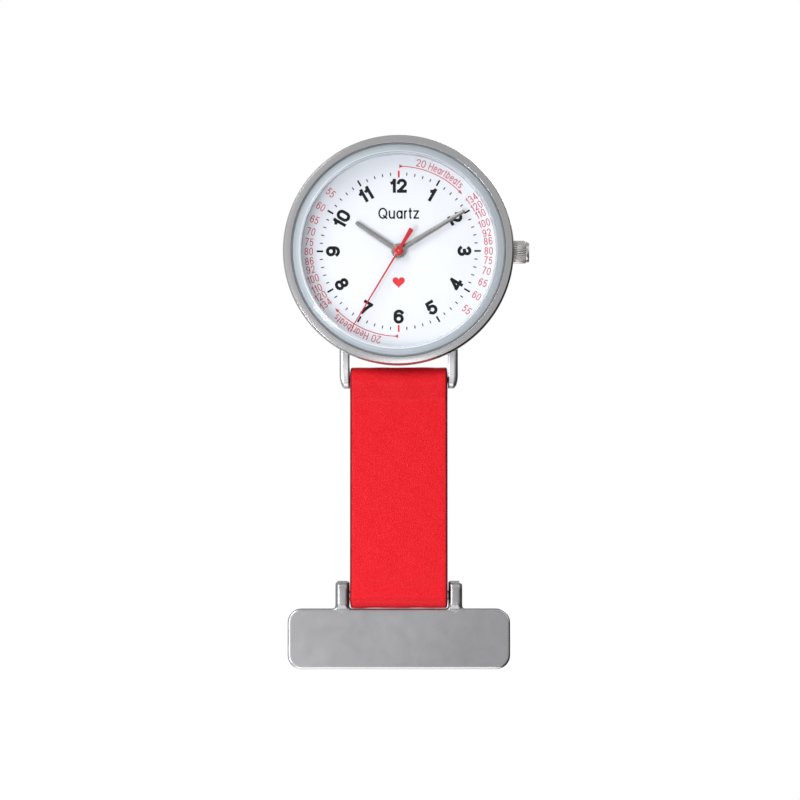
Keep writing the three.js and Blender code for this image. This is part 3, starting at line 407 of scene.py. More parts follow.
class Finish(Tree):
    """A Principled material with its variations."""

    def __init__(self, name, colour, metallic=0.0):
        self.material = bpy.data.materials.new(name)
        self.material.use_nodes = True
        super().__init__(self.material.node_tree)
        self.shader = self.nodes["Principled BSDF"]
        self.set(Base_Color=(*colour, 1), Metallic=metallic)
        self.bumped = None

    def noise(self, per_mm, detail=2.0, stretch=(1, 1, 1), vector=None):
        """A noise value from 0 to 1, with so many features in a millimetre."""
        mapped = self.add("Mapping", {"Vector": vector or self.place(), "Scale": stretch})
        return self.add("TexNoise", {"Vector": mapped, "Scale": per_mm / MM, "Detail": detail})

    def cells(self, per_mm):
        """Distance to the borders of irregular cells."""
        inputs = {"Vector": self.place(), "Scale": per_mm / MM}
        return self.add("TexVoronoi", inputs, feature="DISTANCE_TO_EDGE")

    def rings(self):
        """(radius, angle) about the piece's origin, in the dial's plane, as a vector in metres."""
        x, _, z = self.split(self.place())
        flat = self.add("CombineXYZ", {"X": x, "Y": z})
        turn = self.maths("MULTIPLY", self.maths("ARCTAN2", x, z), MM)
        length = self.nodes.new("ShaderNodeVectorMath")
        length.operation = "LENGTH"
        self.links.new(flat, length.inputs[0])
        return self.add("CombineXYZ", {"X": length.outputs["Value"], "Y": turn})

    def vary(self, socket, value, low, high):
        """The shader's socket runs from low to high with the middle half of value's range."""
        self.feed(self.shader.inputs[socket], self.ramp(value, 0.25, 0.75, low, high))

    def tint(self, value, low, high, start=0.3, end=0.7):
        """The colour runs from low to high with value."""
        ramp = self.nodes.new("ShaderNodeValToRGB")
        for stop, position, colour in zip(ramp.color_ramp.elements, (start, end), (low, high)):
            stop.position = position
            stop.color = (*colour, 1)
        self.links.new(value, ramp.inputs["Fac"])
        self.links.new(ramp.outputs["Color"], self.shader.inputs["Base Color"])

    def bump(self, value, height_mm, strength):
        """Relief of that height, over any relief that is there already."""
        inputs = {"Strength": strength, "Distance": height_mm * MM, "Height": value}
        if self.bumped:
            inputs["Normal"] = self.bumped
        self.bumped = self.add("Bump", inputs)
        self.links.new(self.bumped, self.shader.inputs["Normal"])

    def set(self, **values):
        """Plain values on the shader's sockets, with _ for a space."""
        for name, value in values.items():
            self.shader.inputs[name.replace("_", " ")].default_value = value


def shades(colour, spread):
    """A colour a little darker and a little lighter."""
    return [c * (1 - spread) for c in colour], [min(1.0, c * (1 + spread)) for c in colour]


def surface(name, colour, spread, tone, gloss, roughness, relief=(), metallic=0.0, **values):
    """A material whose tone, gloss and relief each follow a noise: (per_mm, detail, stretch)."""
    f = Finish(name, colour, metallic)
    f.tint(f.noise(*tone), *shades(colour, spread))
    f.vary("Roughness", f.noise(*gloss), *roughness)
    for noise, height, strength in relief:
        f.bump(f.noise(*noise), height, strength)
    f.set(**values)
    return f.material


def blasted_steel(name, grey, roughness, cloud=0.03):
    """Evenly satin steel, finely blasted."""
    gloss = (roughness - 0.04, roughness + 0.05)
    return surface(name, grey, cloud, (0.06, 1), (0.5, 4), gloss, [((14, 1), 0.0008, 0.3)], 1.0)


def satin_steel(name, grey, roughness):
    """Softly polished steel without a grain that shows."""
    gloss = (roughness - 0.03, roughness + 0.04)
    return surface(name, grey, 0.03, (0.08, 1), (0.4, 2), gloss, [((1.5, 2), 0.0008, 0.2)], 1.0)


def polished_steel(name, grey, roughness):
    """Bright polished steel with faint handling marks."""
    gloss = (roughness - 0.03, roughness + 0.08)
    relief = [((3, 3, (1, 1, 8)), 0.0006, 0.4)]
    return surface(name, grey, 0.03, (0.3, 2), (0.7, 5), gloss, relief, 1.0)


def ring_brushed_steel(name, grey, roughness):
    """Steel brushed in circles about the dial's axis."""
    f = Finish(name, grey, 1.0)
    fine = f.noise(9, 3, (1, 0.12, 1), f.rings())
    coarse = f.noise(2.2, 2, (1, 0.3, 1), f.rings())
    f.tint(coarse, *shades(grey, 0.02))
    f.vary("Roughness", fine, roughness - 0.03, roughness + 0.04)
    f.bump(fine, 0.0008, 0.2)
    return f.material


def plain_metal(name, colour, roughness):
    """Turned or pressed metal of the movement."""
    gloss = (roughness - 0.06, roughness + 0.1)
    relief = [((9, 2, (1, 8, 1)), 0.001, 0.4)]
    return surface(name, colour, 0.08, (0.8, 3), (3, 3), gloss, relief, 1.0)


def moulded(name, colour, roughness):
    """Moulded plastic or rubber with a fine surface."""
    gloss = (roughness - 0.06, roughness + 0.08)
    return surface(name, colour, 0.1, (0.5, 3), (2, 3), gloss, [((6, 2), 0.004, 0.4)])


def leather(name, colour):
    """Dyed smooth leather: fine pores, a soft sheen and slow changes of tone."""
    f = Finish(name, colour)
    f.tint(f.cells(2.8), [c * 0.93 for c in colour], [c + 0.015 for c in colour], 0.0, 0.4)
    f.vary("Roughness", f.noise(2.2, 4), 0.38, 0.5)
    f.bump(f.noise(0.25, 2), 0.05, 0.35)
    f.bump(f.cells(3.0), 0.08, 0.8)
    f.bump(f.noise(4, 3), 0.05, 0.8)
    f.set(Specular_IOR_Level=0.12, Coat_Weight=0.1, Coat_Roughness=0.28)
    return f.material


def edge_paint(name, colour):
    """The sealed, painted cut edge of leather."""
    relief = [((2.4, 4, (1, 1, 0.4)), 0.03, 0.5)]
    gloss = (0.5, 0.66)
    return surface(name, colour, 0.2, (1.2, 4), (3, 3), gloss, relief, Specular_IOR_Level=0.15)


def enamel(name, colour, roughness):
    """Lacquer as it lies on a dial or a hand."""
    gloss = (roughness - 0.05, roughness + 0.05)
    return surface(name, colour, 0.015, (0.25, 3), (4, 3), gloss, [((12, 2), 0.0008, 0.4)])


def print_ink(name, colour):
    """Pad-printed ink, very slightly uneven."""
    relief = [((16, 1), 0.001, 0.3)]
    gloss = (0.42, 0.58)
    return surface(name, colour, 0.1, (2, 3), (6, 2), gloss, relief, Specular_IOR_Level=0.1)


def clear_glass(name, alpha):
    """Clear crystal: what is behind it shows through, under a faint veil with a sharp gloss."""
    f = Finish(name, (0.05, 0.06, 0.07))
    f.tint(f.noise(0.2, 2), (0.04, 0.05, 0.06), (0.06, 0.07, 0.08))
    f.vary("Roughness", f.noise(0.4, 3), 0.02, 0.07)
    f.set(Alpha=alpha)
    return f.material


def bevel_glass(name, colour, alpha):
    """Painted reflection on the crystal's ground edge: a half-opaque grey that stands for the ring below
    it, as seen through the glass and mirrored in it.
    """
    f = Finish(name, colour)
    fine = f.noise(3, 3, (1, 0.3, 1), f.rings())
    f.tint(fine, *shades(colour, 0.07))
    f.vary("Roughness", fine, 0.08, 0.2)
    f.set(Alpha=alpha)
    return f.material


FINISHES = {
    "bar_steel": blasted_steel("bar_satin", (0.35, 0.35, 0.36), 0.35, cloud=0.08),
    "spring_steel": blasted_steel("spring_satin", (0.5, 0.5, 0.51), 0.32),
    "needle_steel": polished_steel("needle_polish", (0.72, 0.72, 0.73), 0.12),
    "case_steel": satin_steel("case_polish", (0.5, 0.5, 0.51), 0.17),
    "bezel_steel": ring_brushed_steel("bezel_brushed", (0.5, 0.5, 0.51), 0.22),
    "case_back_steel": ring_brushed_steel("back_brushed", (0.56, 0.56, 0.57), 0.28),
    "crown_steel": satin_steel("crown_polish", (0.54, 0.53, 0.52), 0.2),
    "battery_steel": polished_steel("battery_cup", (0.7, 0.7, 0.71), 0.2),
    "rehaut_metal": blasted_steel("rehaut_satin", (0.66, 0.71, 0.75), 0.3),
    "brass": plain_metal("train_brass", (0.78, 0.6, 0.28), 0.3),
    "coil_copper": plain_metal("coil_winding", (0.62, 0.26, 0.12), 0.35),
    "crystal_glass": clear_glass("crystal_clear", 0.03),
    "dial_enamel": enamel("dial_white", (0.8, 0.825, 0.89), 0.45),
    "hand_grey": satin_steel("hand_satin", (0.4, 0.4, 0.39), 0.25),
    "hand_red": enamel("hand_red_lacquer", (0.52, 0.018, 0.02), 0.3),
    "red_leather": leather("strap_leather", (0.62, 0.001, 0.008)),
    "black_rubber": moulded("gasket_rubber", (0.03, 0.031, 0.033), 0.6),
    "holder_plastic": moulded("holder_plastic", (0.75, 0.75, 0.72), 0.5),
    "plate_plastic": moulded("plate_plastic", (0.2, 0.21, 0.22), 0.45),
    "board_green": moulded("board_lacquer", (0.03, 0.16, 0.08), 0.3),
}
# A brighter, glossier steel painted on the bar's rim as a highlight line.
BAR_RIM_PAINTED_HIGHLIGHT = satin_steel("bar_rim_painted_highlight", (0.55, 0.55, 0.56), 0.2)
LUG_STEEL = satin_steel("lug_satin", (0.54, 0.54, 0.55), 0.3)
LEATHER_EDGE = edge_paint("strap_edge", (0.16, 0.004, 0.007))
SEAL_GREY = moulded("seal_grey", (0.16, 0.165, 0.175), 0.5)
INK_BLACK = print_ink("ink_black", (0.012, 0.012, 0.012))
INK_RED = print_ink("ink_red", (0.72, 0.05, 0.06))
INK_SCALE = print_ink("ink_scale", (0.6, 0.07, 0.075))
# The crystal's edge facets: half-opaque greys painted as the reflection of the ring below, and one light
# line painted as a highlight.
GLASS_OUTER = bevel_glass("crystal_outer_painted_reflection", (0.47, 0.54, 0.6), 0.6)
GLASS_MIDDLE = bevel_glass("crystal_middle_painted_reflection", (0.6, 0.67, 0.74), 0.52)
GLASS_HIGHLIGHT_LINE = bevel_glass("crystal_painted_highlight_line", (0.88, 0.94, 0.98), 0.55)
GLASS_INNER = bevel_glass("crystal_inner_painted_reflection", (0.66, 0.72, 0.79), 0.36)

# --- brooch ------------------------------------------------------------------------------------

BAR_HALF_X = BAR_HIGH.x
BAR_HALF_Y = -BAR_LOW.y
BAR_CORNER = 2.3
BAR_RIM = 0.34
BAR_HALF_THICK = 0.8
BAR_CHAMFER = 1.4
BAR_MIDDLE_Z = (BAR_HIGH.z + BAR_LOW.z) / 2
BAR_LUG_INNER = 8.12
BAR_LUG_OUTER = 10.4
BAR_LUG_TIP = BAR_HIGH.y
BAR_LUG_RIM = 0.62
BAR_LUG_INNER_CORNER = 0.4
BAR_LUG_OUTER_ROOT = 0.5
BAR_LUG_OUTER_TIP = 0.62
BAR_LUG_HALF_THICK = (BAR_HIGH.z - BAR_LOW.z) / 2
BAR_LUG_BLEND = (BAR_HALF_Y - 0.25, BAR_HALF_Y + 0.7)
BAR_RIM_BLEND = (BAR_HALF_Y - 0.4, BAR_HALF_Y + 0.4)


def bar_outline():
    """The bar with its two lugs, as one outline with soft inner corners."""
    x, y = BAR_HALF_X, BAR_HALF_Y
    right = [
        (x, -y, BAR_CORNER),
        (x, y, BAR_CORNER),
        (BAR_LUG_OUTER, y, BAR_LUG_OUTER_ROOT),
        (BAR_LUG_OUTER, BAR_LUG_TIP, BAR_LUG_OUTER_TIP),
        (BAR_LUG_INNER, BAR_LUG_TIP, BAR_LUG_INNER_CORNER),
        (BAR_LUG_INNER, y, BAR_LUG_INNER_CORNER),
    ]
    left = [(-u, v, radius) for u, v, radius in reversed(right)]
    return rounded(right + left, step=9)


def bar_half(p):
    """Half of the bar's thickness, which grows into the lugs and rounds off at their tips."""
    thick = BAR_HALF_THICK
    thick += (BAR_LUG_HALF_THICK - BAR_HALF_THICK) * smooth_step(p.y, *BAR_LUG_BLEND)
    beyond = p.y - (BAR_LUG_TIP - BAR_LUG_HALF_THICK)
    if beyond > 0:
        thick = math.sqrt(max(1e-4, BAR_LUG_HALF_THICK**2 - beyond**2))
    return thick


def bar_edge(p):
    """The radius of the bar's rim, which is larger on the lugs."""
    return BAR_RIM + (BAR_LUG_RIM - BAR_RIM) * smooth_step(p.y, *BAR_RIM_BLEND)


def brooch_bar():
    """Satin on its faces and lugs. Its rounded rim below the top edge is a brighter, glossier steel, a
    painted highlight.
    """
    points, faces = cushioned(
        bar_outline(), lambda p: BAR_MIDDLE_Z, bar_half, bar_edge, power=BAR_CHAMFER
    )

    # The rim below the top edge takes the painted highlight; the top edge and the lugs, in the strap's
    # shade, keep the satin.
    def on_rim(face):
        below = any(abs(points[i].z - BAR_MIDDLE_Z) < BAR_HALF_THICK - 0.02 for i in face)
        return below and all(points[i].y < BAR_HALF_Y - BAR_RIM for i in face)

    finishes = [BAR_RIM_PAINTED_HIGHLIGHT if on_rim(face) else FINISHES["bar_steel"] for face in faces]
    made("brooch_plate", [(points, faces, finishes)], "brooch", "bar_steel", "brooch_bar")


ROD_END_R = 0.12
SPRING_BODY = 8.05
SPRING_TIP_R = 0.4
SPRING_TIP_END_R = 0.24


def strap_rod():
    """A plain round rod between the bar's lugs."""
    end = ROD_HIGH.x
    profile = rounded([(0, -end, 0), (ROD_R, -end, ROD_END_R), (ROD_R, end, ROD_END_R), (0, end, 0)])
    shape = turned(profile, along_x(y=BROOCH_ROD_Y, z=STRAP_Z), sides=40, closed=False)
    made("strap_rod", [shape], "brooch", "spring_steel", "brooch_rod")


def spring_bar():
    """The same rod with thin sprung tips, between the head's lugs."""
    end = SPRING_HIGH.x
    half = [
        (SPRING_TIP_R, SPRING_BODY, 0.03),
        (SPRING_TIP_R, end, SPRING_TIP_END_R),
        (0, end, 0),
    ]
    profile = [(r, -x, rim) for r, x, rim in reversed(half)]
    profile += [(ROD_R, -SPRING_BODY, ROD_END_R), (ROD_R, SPRING_BODY, ROD_END_R), *half]
    place = along_x(y=SPRING_BAR_Y, z=STRAP_Z)
    shape = turned(rounded(profile), place, sides=40, closed=False)
    made("sprung_bar", [shape], "head", "spring_steel", "spring_bar")


# --- brooch pin --------------------------------------------------------------------------------

NEEDLE_LOW, NEEDLE_HIGH = extent("pin_needle")
STRIP_LOW, STRIP_HIGH = extent("pin_base")
RIVET_LOW, RIVET_HIGH = extent("pin_rivet")
SLEEVE_LOW, SLEEVE_HIGH = extent("catch_sleeve")
HINGE_X = (RIVET_HIGH.x + RIVET_LOW.x) / 2
CATCH_X = (SLEEVE_HIGH.x + SLEEVE_LOW.x) / 2
STRIP_HALF_THICK = 0.25
STRIP_HALF_Y = 1.5
STRIP_CORNER = 0.5
RIVET_R = 0.35
RIVET_HEAD_R = (RIVET_HIGH.x - RIVET_LOW.x) / 2
RIVET_HEAD = 0.27
EAR_R = 1.0
EAR_HALF = 0.2
EAR_Y = 0.9
NEEDLE_R = 0.4
NEEDLE_TAPER = ((0, 0), (0.06, 0.12), (0.12, 0.5), (0.27, 2.6), (0.36, 4.2), (NEEDLE_R, 5.4))
NEEDLE_ROOT = 0.5
KNUCKLE_R = NEEDLE_HIGH.x - HINGE_X
KNUCKLE_BORE = RIVET_R + 0.03
KNUCKLE_HALF = 0.62
CATCH_BORE = 0.6
CATCH_R = 0.95
CATCH_SLOT = 0.5
CATCH_FLANGE_R = math.hypot(CATCH_SLOT, STRIP_LOW.z)
CATCH_FLANGE_HALF = 0.15
CATCH_HALF = 1.2
POST_HALF = 0.35
POST_TOP = 0.7
SLEEVE_INNER_R = 0.99
SLEEVE_OUTER_R = 1.36
SLEEVE_TURN = (35, 150)
TAB_TURN = 60
TAB_ROOT = (SLEEVE_INNER_R + 0.1, 9)
TAB_TIP = (2.24, 6)


def plate(outline, place, half, rim):
    """A flat plate with rounded rims about place's x-y plane."""
    points, faces = cushioned(
        outline, lambda p: 0.0, lambda p: half, lambda p: rim, step=0.4, fine=0.1
    )
    return [place @ p for p in points], faces


def open_tube(outer):
    """The section of the catch, with its mouth towards the wearer."""
    outside = math.degrees(math.asin(CATCH_SLOT / outer))
    inside_turn = math.degrees(math.asin(CATCH_SLOT / CATCH_BORE))
    return (
        arc(0, 0, outer, outer, outside - 90, 270 - outside, 32)
        + arc(0, 0, CATCH_BORE, CATCH_BORE, 270 - inside_turn, inside_turn - 90, 24)
    )


def pin_base():
    """The strip behind the bar, with two hinge ears and the catch on its post."""
    x, y = STRIP_HIGH.x, STRIP_HALF_Y
    strip = rounded([(u, v, STRIP_CORNER) for u, v in ((x, -y), (x, y), (-x, y), (-x, -y))])
    strip_z = STRIP_HIGH.z - STRIP_HALF_THICK
    ear = arc(0, HINGE_X, EAR_R, EAR_R, 90, 270, 24)
    ear += [(strip_z, HINGE_X - EAR_R), (strip_z, HINGE_X + EAR_R)]
    post = [
        (-POST_HALF, POST_TOP), (POST_HALF, POST_TOP), (POST_HALF, strip_z), (-POST_HALF, strip_z),
    ]
    flange_x = CATCH_HALF - CATCH_FLANGE_HALF
    shapes = [plate(strip, Matrix.Translation((0, 0, strip_z)), STRIP_HALF_THICK, 0.12)]
    shapes += [plate(ear, along_y(y=hand * EAR_Y), EAR_HALF, 0.08) for hand in (-1, 1)]
    shapes += [plate(shape, across(x=CATCH_X), CATCH_HALF, 0.06) for shape in (open_tube(CATCH_R), post)]
    for hand in (-1, 1):
        place = across(x=CATCH_X + hand * flange_x)
        shapes.append(plate(open_tube(CATCH_FLANGE_R), place, CATCH_FLANGE_HALF, 0.07))
    made("pin_strip", shapes, "brooch", "spring_steel", "pin_base")


def pin_needle():
    """A ground needle with a turned knuckle at its root."""
    tip, root = NEEDLE_LOW.x, HINGE_X - NEEDLE_ROOT
    profile = [(radius, tip + along) for radius, along in NEEDLE_TAPER] + [(NEEDLE_R, root), (0, root)]
    shaft = turned(profile, along_x(), sides=32, closed=False)
    section = rounded([
        (KNUCKLE_BORE, -KNUCKLE_HALF, 0.03),
        (KNUCKLE_R, -KNUCKLE_HALF, 0.12),
        (KNUCKLE_R, KNUCKLE_HALF, 0.12),
        (KNUCKLE_BORE, KNUCKLE_HALF, 0.03),
    ])
    knuckle = turned(section, along_y(x=HINGE_X), sides=48)
    made("needle_wire", [shaft, knuckle], "pin", "needle_steel", "pin_needle", origin=(HINGE_X, 0, 0))


def pin_rivet():
    """The needle's hinge pin, with a flat head at each end."""
    end = RIVET_HIGH.y
    neck = end - RIVET_HEAD
    half = [(RIVET_R, neck, 0), (RIVET_HEAD_R, neck, 0.02), (RIVET_HEAD_R, end, 0.16), (0, end, 0)]
    profile = rounded([(r, -y, rim) for r, y, rim in reversed(half)] + half)
    shape = turned(profile, along_y(x=HINGE_X), sides=40, closed=False)
    made("hinge_rivet", [shape], "brooch", "spring_steel", "pin_rivet")


def catch_sleeve():
    """Part of a tube round the catch, with a thumb tab."""
    def at(radius, degrees):
        return tuple(polar(radius, degrees))

    turns = np.linspace(*SLEEVE_TURN, 30)
    shell = [at(SLEEVE_OUTER_R, t) for t in turns] + [at(SLEEVE_INNER_R, t) for t in reversed(turns)]
    (root_r, root_turn), (tip_r, tip_turn) = TAB_ROOT, TAB_TIP
    tab = rounded([
        (*at(root_r, TAB_TURN - root_turn), 0),
        (*at(tip_r, TAB_TURN - tip_turn), 0.12),
        (*at(tip_r, TAB_TURN + tip_turn), 0.12),
        (*at(root_r, TAB_TURN + root_turn), 0),
    ])
    half = (SLEEVE_HIGH.x - SLEEVE_LOW.x) / 2
    parts = [plate(anticlockwise(outline), across(x=CATCH_X), half, 0.08) for outline in (shell, tab)]
    made("safety_sleeve", parts, "catch_lock", "brass", "catch_sleeve", origin=(CATCH_X, 0, 0))


# --- strap -------------------------------------------------------------------------------------

STRAP_HALF_X = STRAP_HIGH.x
LEATHER_THICK = 1.02
LAYER_GAP = 0.012
LOOP_INSIDE = 1.1
LOOP_BLEND = 3.8
LOOP_R = LOOP_INSIDE + LEATHER_THICK / 2
STRAP_EDGE_R = 0.3
STRAP_NARROWING = 0.08
STRAP_STEP = 0.32
# Slow waves of the leather: height in mm, turns per mm across it and per ring along it, and phase.
RIPPLES = ((0.010, 1.1, 0.7, 0.0), (0.012, -0.9, 0.53, 1.3), (0.008, 1.7, 2.3, 0.4))
RIPPLE_STEP = 0.35


def strap_path():
    """The leather's middle line as (y, z), once round the lower rod and once round the upper one."""
    flat = LEATHER_THICK / 2 + LAYER_GAP
    low, high = BROOCH_ROD_Y, SPRING_BAR_Y
    count = round((high - low) / STRAP_STEP)
    side = []
    for i in range(count + 1):
        y = low + (high - low) * i / count
        d = min(y - low, high - y)
        lift = flat + (LOOP_R - flat) * (1 + math.cos(math.pi * min(d, LOOP_BLEND) / LOOP_BLEND)) / 2
        side.append((y, lift))
    bend = [math.pi * k / 14 for k in range(1, 14)]
    path = [(y, STRAP_Z + lift) for y, lift in side]
    path += [(high + LOOP_R * math.sin(a), STRAP_Z + LOOP_R * math.cos(a)) for a in bend]
    path += [(y, STRAP_Z - lift) for y, lift in reversed(side)]
    path += [(low - LOOP_R * math.sin(a), STRAP_Z - LOOP_R * math.cos(a)) for a in bend]
    return path


def strap_section(half_width):
    """The strip's section, anticlockwise: (across, out of the loop, is an edge)."""
    half, r = LEATHER_THICK / 2, STRAP_EDGE_R
    flat = np.linspace(-(half_width - r), half_width - r, 33)
    top = [(x, half, False) for x in reversed(flat)]
    left = [(x, y, True) for x, y in arc(-(half_width - r), half - r, r, r, 90, 180, 4)[1:]]
    left += [(x, y, True) for x, y in arc(-(half_width - r), r - half, r, r, 180, 270, 4)[:-1]]
    bottom = [(x, -half, False) for x in flat]
    right = [(-x, -y, True) for x, y, _ in left]
    return top + left + bottom + right


def ripple(x, s):
    """Slow unevenness of the leather, in millimetres."""
    return sum(height * math.sin(u * x + v * s + phase) for height, u, v, phase in RIPPLES)


def strap():
    """One band of leather round both rods, with painted cut edges."""
    path = strap_path()
    count = len(path)
    rings = []
    for i, (y, z) in enumerate(path):
        along = (Vector(path[(i + 1) % count]) - Vector(path[i - 1])).normalized()
        out = Vector((-along.y, along.x))
        beyond = max(BROOCH_ROD_Y - y, y - SPRING_BAR_Y, -1.0)
        narrow = STRAP_NARROWING * smooth_step(beyond, 0.8, LOOP_R)
        section = strap_section(STRAP_HALF_X - narrow)
        ring = []
        for x, lift, is_edge in section:
            if lift > 0 and not is_edge:
                lift += ripple(x, RIPPLE_STEP * i)
            ring.append(Vector((x, y + out.x * lift, z + out.y * lift)))
        rings.append(ring)
    painted = [a[2] or b[2] for a, b in pairs(section)]
    finishes = [LEATHER_EDGE if edge else FINISHES["red_leather"] for edge in painted]
    points, faces = skin(rings, True)
    made("strap_band", [(points, faces, finishes * count)], "strap", "red_leather", "strap")


# --- case --------------------------------------------------------------------------------------

CASE_R = CASE_HIGH.x
CASE_BORE = 16.4
CASE_FOOT_R = 17.8
CASE_SIDE_Z = 2.2
CASE_NECK_R = 17.9
CASE_SHOULDER_Z = 5.4
CASE_LUG_INNER = 8.1
CASE_LUG_OUTER = 9.75
CASE_LUG_ROOT = -15.2
CASE_LUG_TIP = CASE_LOW.y - HEAD_Y
CASE_LUG_TIP_R = 1.4
CASE_LUG_NARROWING = (0.85, 2.4)
CASE_LUG_RISE = 0.75
CASE_LUG_RIMS = (0.25, 0.65)
BEZEL_SEAT_R = 17.95
BEZEL_SEAT_Z = 6.36
BEZEL_FOOT_R = 18.7
BEZEL_SIDE_Z = (5.8, 6.95)
BEZEL_FACE_R = (17.74, 18.72)
BEZEL_INNER = 17.65
BEZEL_SLOPE = 0.14
BACK_HIGH = extent("case_back")[1]
BACK_GROOVE_R = (12.9, 13.0, 13.5, 13.6)
BACK_GROOVE = 0.09
BACK_FLAT_R = 16.85
BACK_SIDE_Z = (0.36, 0.8)
BACK_SNAP_R = (15.5, 16.3)


def head_turned(name, node, slot, corners, sides=192, closed=True, finish=None):
    """A piece of the head, turned about the dial's axis from rounded corners."""
    shape = turned(rounded(corners), ON_HEAD, sides=sides, closed=closed)
    made(name, [(*shape, finish or FINISHES[slot])], "head", slot, node, origin=ON_HEAD_POINT)


def case_lug(hand):
    """One lug of the head: it slopes down from under the bezel to a round, narrowed tip."""
    across_tip, along_tip = CASE_LUG_NARROWING
    bend = arc(CASE_LUG_OUTER - across_tip, CASE_LUG_TIP + along_tip, across_tip, along_tip, 270, 360)
    corners = [
        (CASE_LUG_INNER, CASE_LUG_ROOT),
        (CASE_LUG_INNER, CASE_LUG_TIP),
        *bend,
        (CASE_LUG_OUTER, CASE_LUG_ROOT),
    ]
    outline = [(hand * x, HEAD_Y + y) for x, y in corners]
    root_y, tip_y = HEAD_Y + CASE_LUG_ROOT, HEAD_Y + CASE_LUG_TIP + CASE_LUG_TIP_R

    def top_and_bottom(p):
        if p.y < tip_y:
            thick = math.sqrt(max(1e-4, CASE_LUG_TIP_R**2 - (tip_y - p.y) ** 2))
            return STRAP_Z + thick, STRAP_Z - thick
        share = (root_y - p.y) / (root_y - tip_y)
        return STRAP_Z + CASE_LUG_TIP_R + CASE_LUG_RISE * (1 - share**2), STRAP_Z - CASE_LUG_TIP_R

    def half(p):
        top, bottom = top_and_bottom(p)
        return (top - bottom) / 2

    def edge(p):
        inner, outer = CASE_LUG_RIMS
        return inner + (outer - inner) * smooth_step(abs(p.x), CASE_LUG_INNER + 0.6, CASE_LUG_OUTER - 0.5)

    return cushioned(outline, lambda p: sum(top_and_bottom(p)) / 2, half, edge, step=0.3, fine=0.1)


def case_body():
    """The turned case middle with its two lugs."""
    profile = rounded([
        (CASE_BORE, CASE_LOW.z, 0.05),
        (CASE_FOOT_R, CASE_LOW.z, 0.25),
        (CASE_R, CASE_SIDE_Z, 0.6),
        (CASE_R, CASE_SHOULDER_Z, 0.12),
        (CASE_NECK_R, CASE_SHOULDER_Z, 0.03),
        (CASE_NECK_R, CASE_HIGH.z, 0.05),
        (CASE_BORE, CASE_HIGH.z, 0.05),
    ])
    parts = [turned(profile, ON_HEAD)]
    parts += [(*case_lug(hand), LUG_STEEL) for hand in (-1, 1)]
    made("case_shell", parts, "head", "case_steel", "case_middle", origin=ON_HEAD_POINT)


def bezel():
    """Brushed on its sloping face, polished on its rims."""
    low, top = BEZEL_LOW.z, BEZEL_TOP
    crest, shoulder = BEZEL_FACE_R
    profile = rounded([
        (BEZEL_SEAT_R, low, 0.03),
        (BEZEL_FOOT_R, low, 0.1),
        (BEZEL_R, BEZEL_SIDE_Z[0], 0.15),
        (BEZEL_R, BEZEL_SIDE_Z[1], 0.3),
        (shoulder, top - BEZEL_SLOPE, 0.06),
        (crest, top, 0.03),
        (BEZEL_INNER, top - 0.12, 0.03),
        (BEZEL_INNER, BEZEL_SEAT_Z, 0.02),
        (BEZEL_SEAT_R, BEZEL_SEAT_Z, 0.02),
    ])
    sides = 256
    points, faces = turned(profile, ON_HEAD, sides)
    finishes = []
    for a, b in pairs(profile):
        on_face = min(a[1], b[1]) > top - BEZEL_SLOPE - 0.03 and abs(a[0] - b[0]) > 0.3
        finishes.append(FINISHES["bezel_steel" if on_face else "case_steel"])
    parts = [(points, faces, finishes * sides)]
    made("bezel_ring", parts, "head", "bezel_steel", "bezel", origin=ON_HEAD_POINT)


def case_back():
    """Snap-on back: a flat turned disc with a rounded rim and a shallow sunk ring, all in one brushed
    finish.
    """
    g1, g2, g3, g4 = BACK_GROOVE_R
    rim_low, rim_high = BACK_SIDE_Z
    snap_inner, snap_outer = BACK_SNAP_R
    head_turned("back_cover", "case_back", "case_back_steel", [
        (0, 0.0, 0),
        (g1, 0.0, 0.05),
        (g2, BACK_GROOVE, 0.05),
        (g3, BACK_GROOVE, 0.05),
        (g4, 0.0, 0.05),
        (BACK_FLAT_R, 0.0, 0.08),
        (BACK_HIGH.x, rim_low, 0.1),
        (BACK_HIGH.x, rim_high, 0.05),
        (snap_outer, rim_high, 0.02),
        (snap_outer, BACK_HIGH.z, 0.1),
        (snap_inner, BACK_HIGH.z, 0.1),
        (snap_inner, rim_high, 0.05),
        (0, rim_high, 0),
    ], closed=False)


# --- crystal, ring and dial --------------------------------------------------------------------

CRYSTAL_SHOULDER_Z = 7.3
# Facets of the crystal's edge: radius, height, and the painted reflection or painted highlight that each
# one carries.
FACETS = (
    (16.85, 7.42, GLASS_OUTER),
    (16.34, 7.58, GLASS_MIDDLE),
    (16.2, 7.63, GLASS_HIGHLIGHT_LINE),
    (15.95, CRYSTAL_HIGH.z, GLASS_INNER),
)
SEAL_LOW, SEAL_HIGH = extent("crystal_gasket")
SEAL_INNER = 17.37
SEAL_PROUD = 0.08
RING_LOW, RING_HIGH = extent("rehaut_ring")
RING_FOOT = ((16.02, 5.5), (16.08, 5.6))
RING_INNER = (15.95, 16.15)
DIAL_HOLE = 0.95


def crystal():
    """A flat crystal. Its ground edge has facets painted as rings of different greys: painted reflection
    of the ring below, and one painted highlight line.
    """
    low, top = CRYSTAL_LOW.z, CRYSTAL_HIGH.z
    sides = 192
    side = [(0, low), (CRYSTAL_R - 0.05, low), (CRYSTAL_R, low + 0.05), (CRYSTAL_R, CRYSTAL_SHOULDER_Z)]
    facets = [(radius, height) for radius, height, _ in FACETS]
    points, faces = turned([*side, *facets, (0, top)], ON_HEAD, sides, closed=False)
    clear = FINISHES["crystal_glass"]
    finishes = [clear] * (len(side) - 1) + [glass for _, _, glass in FACETS] + [clear]
    parts = [(points, faces, finishes * sides)]
    made("crystal_lens", parts, "head", "crystal_glass", "crystal", origin=ON_HEAD_POINT, crease=3)


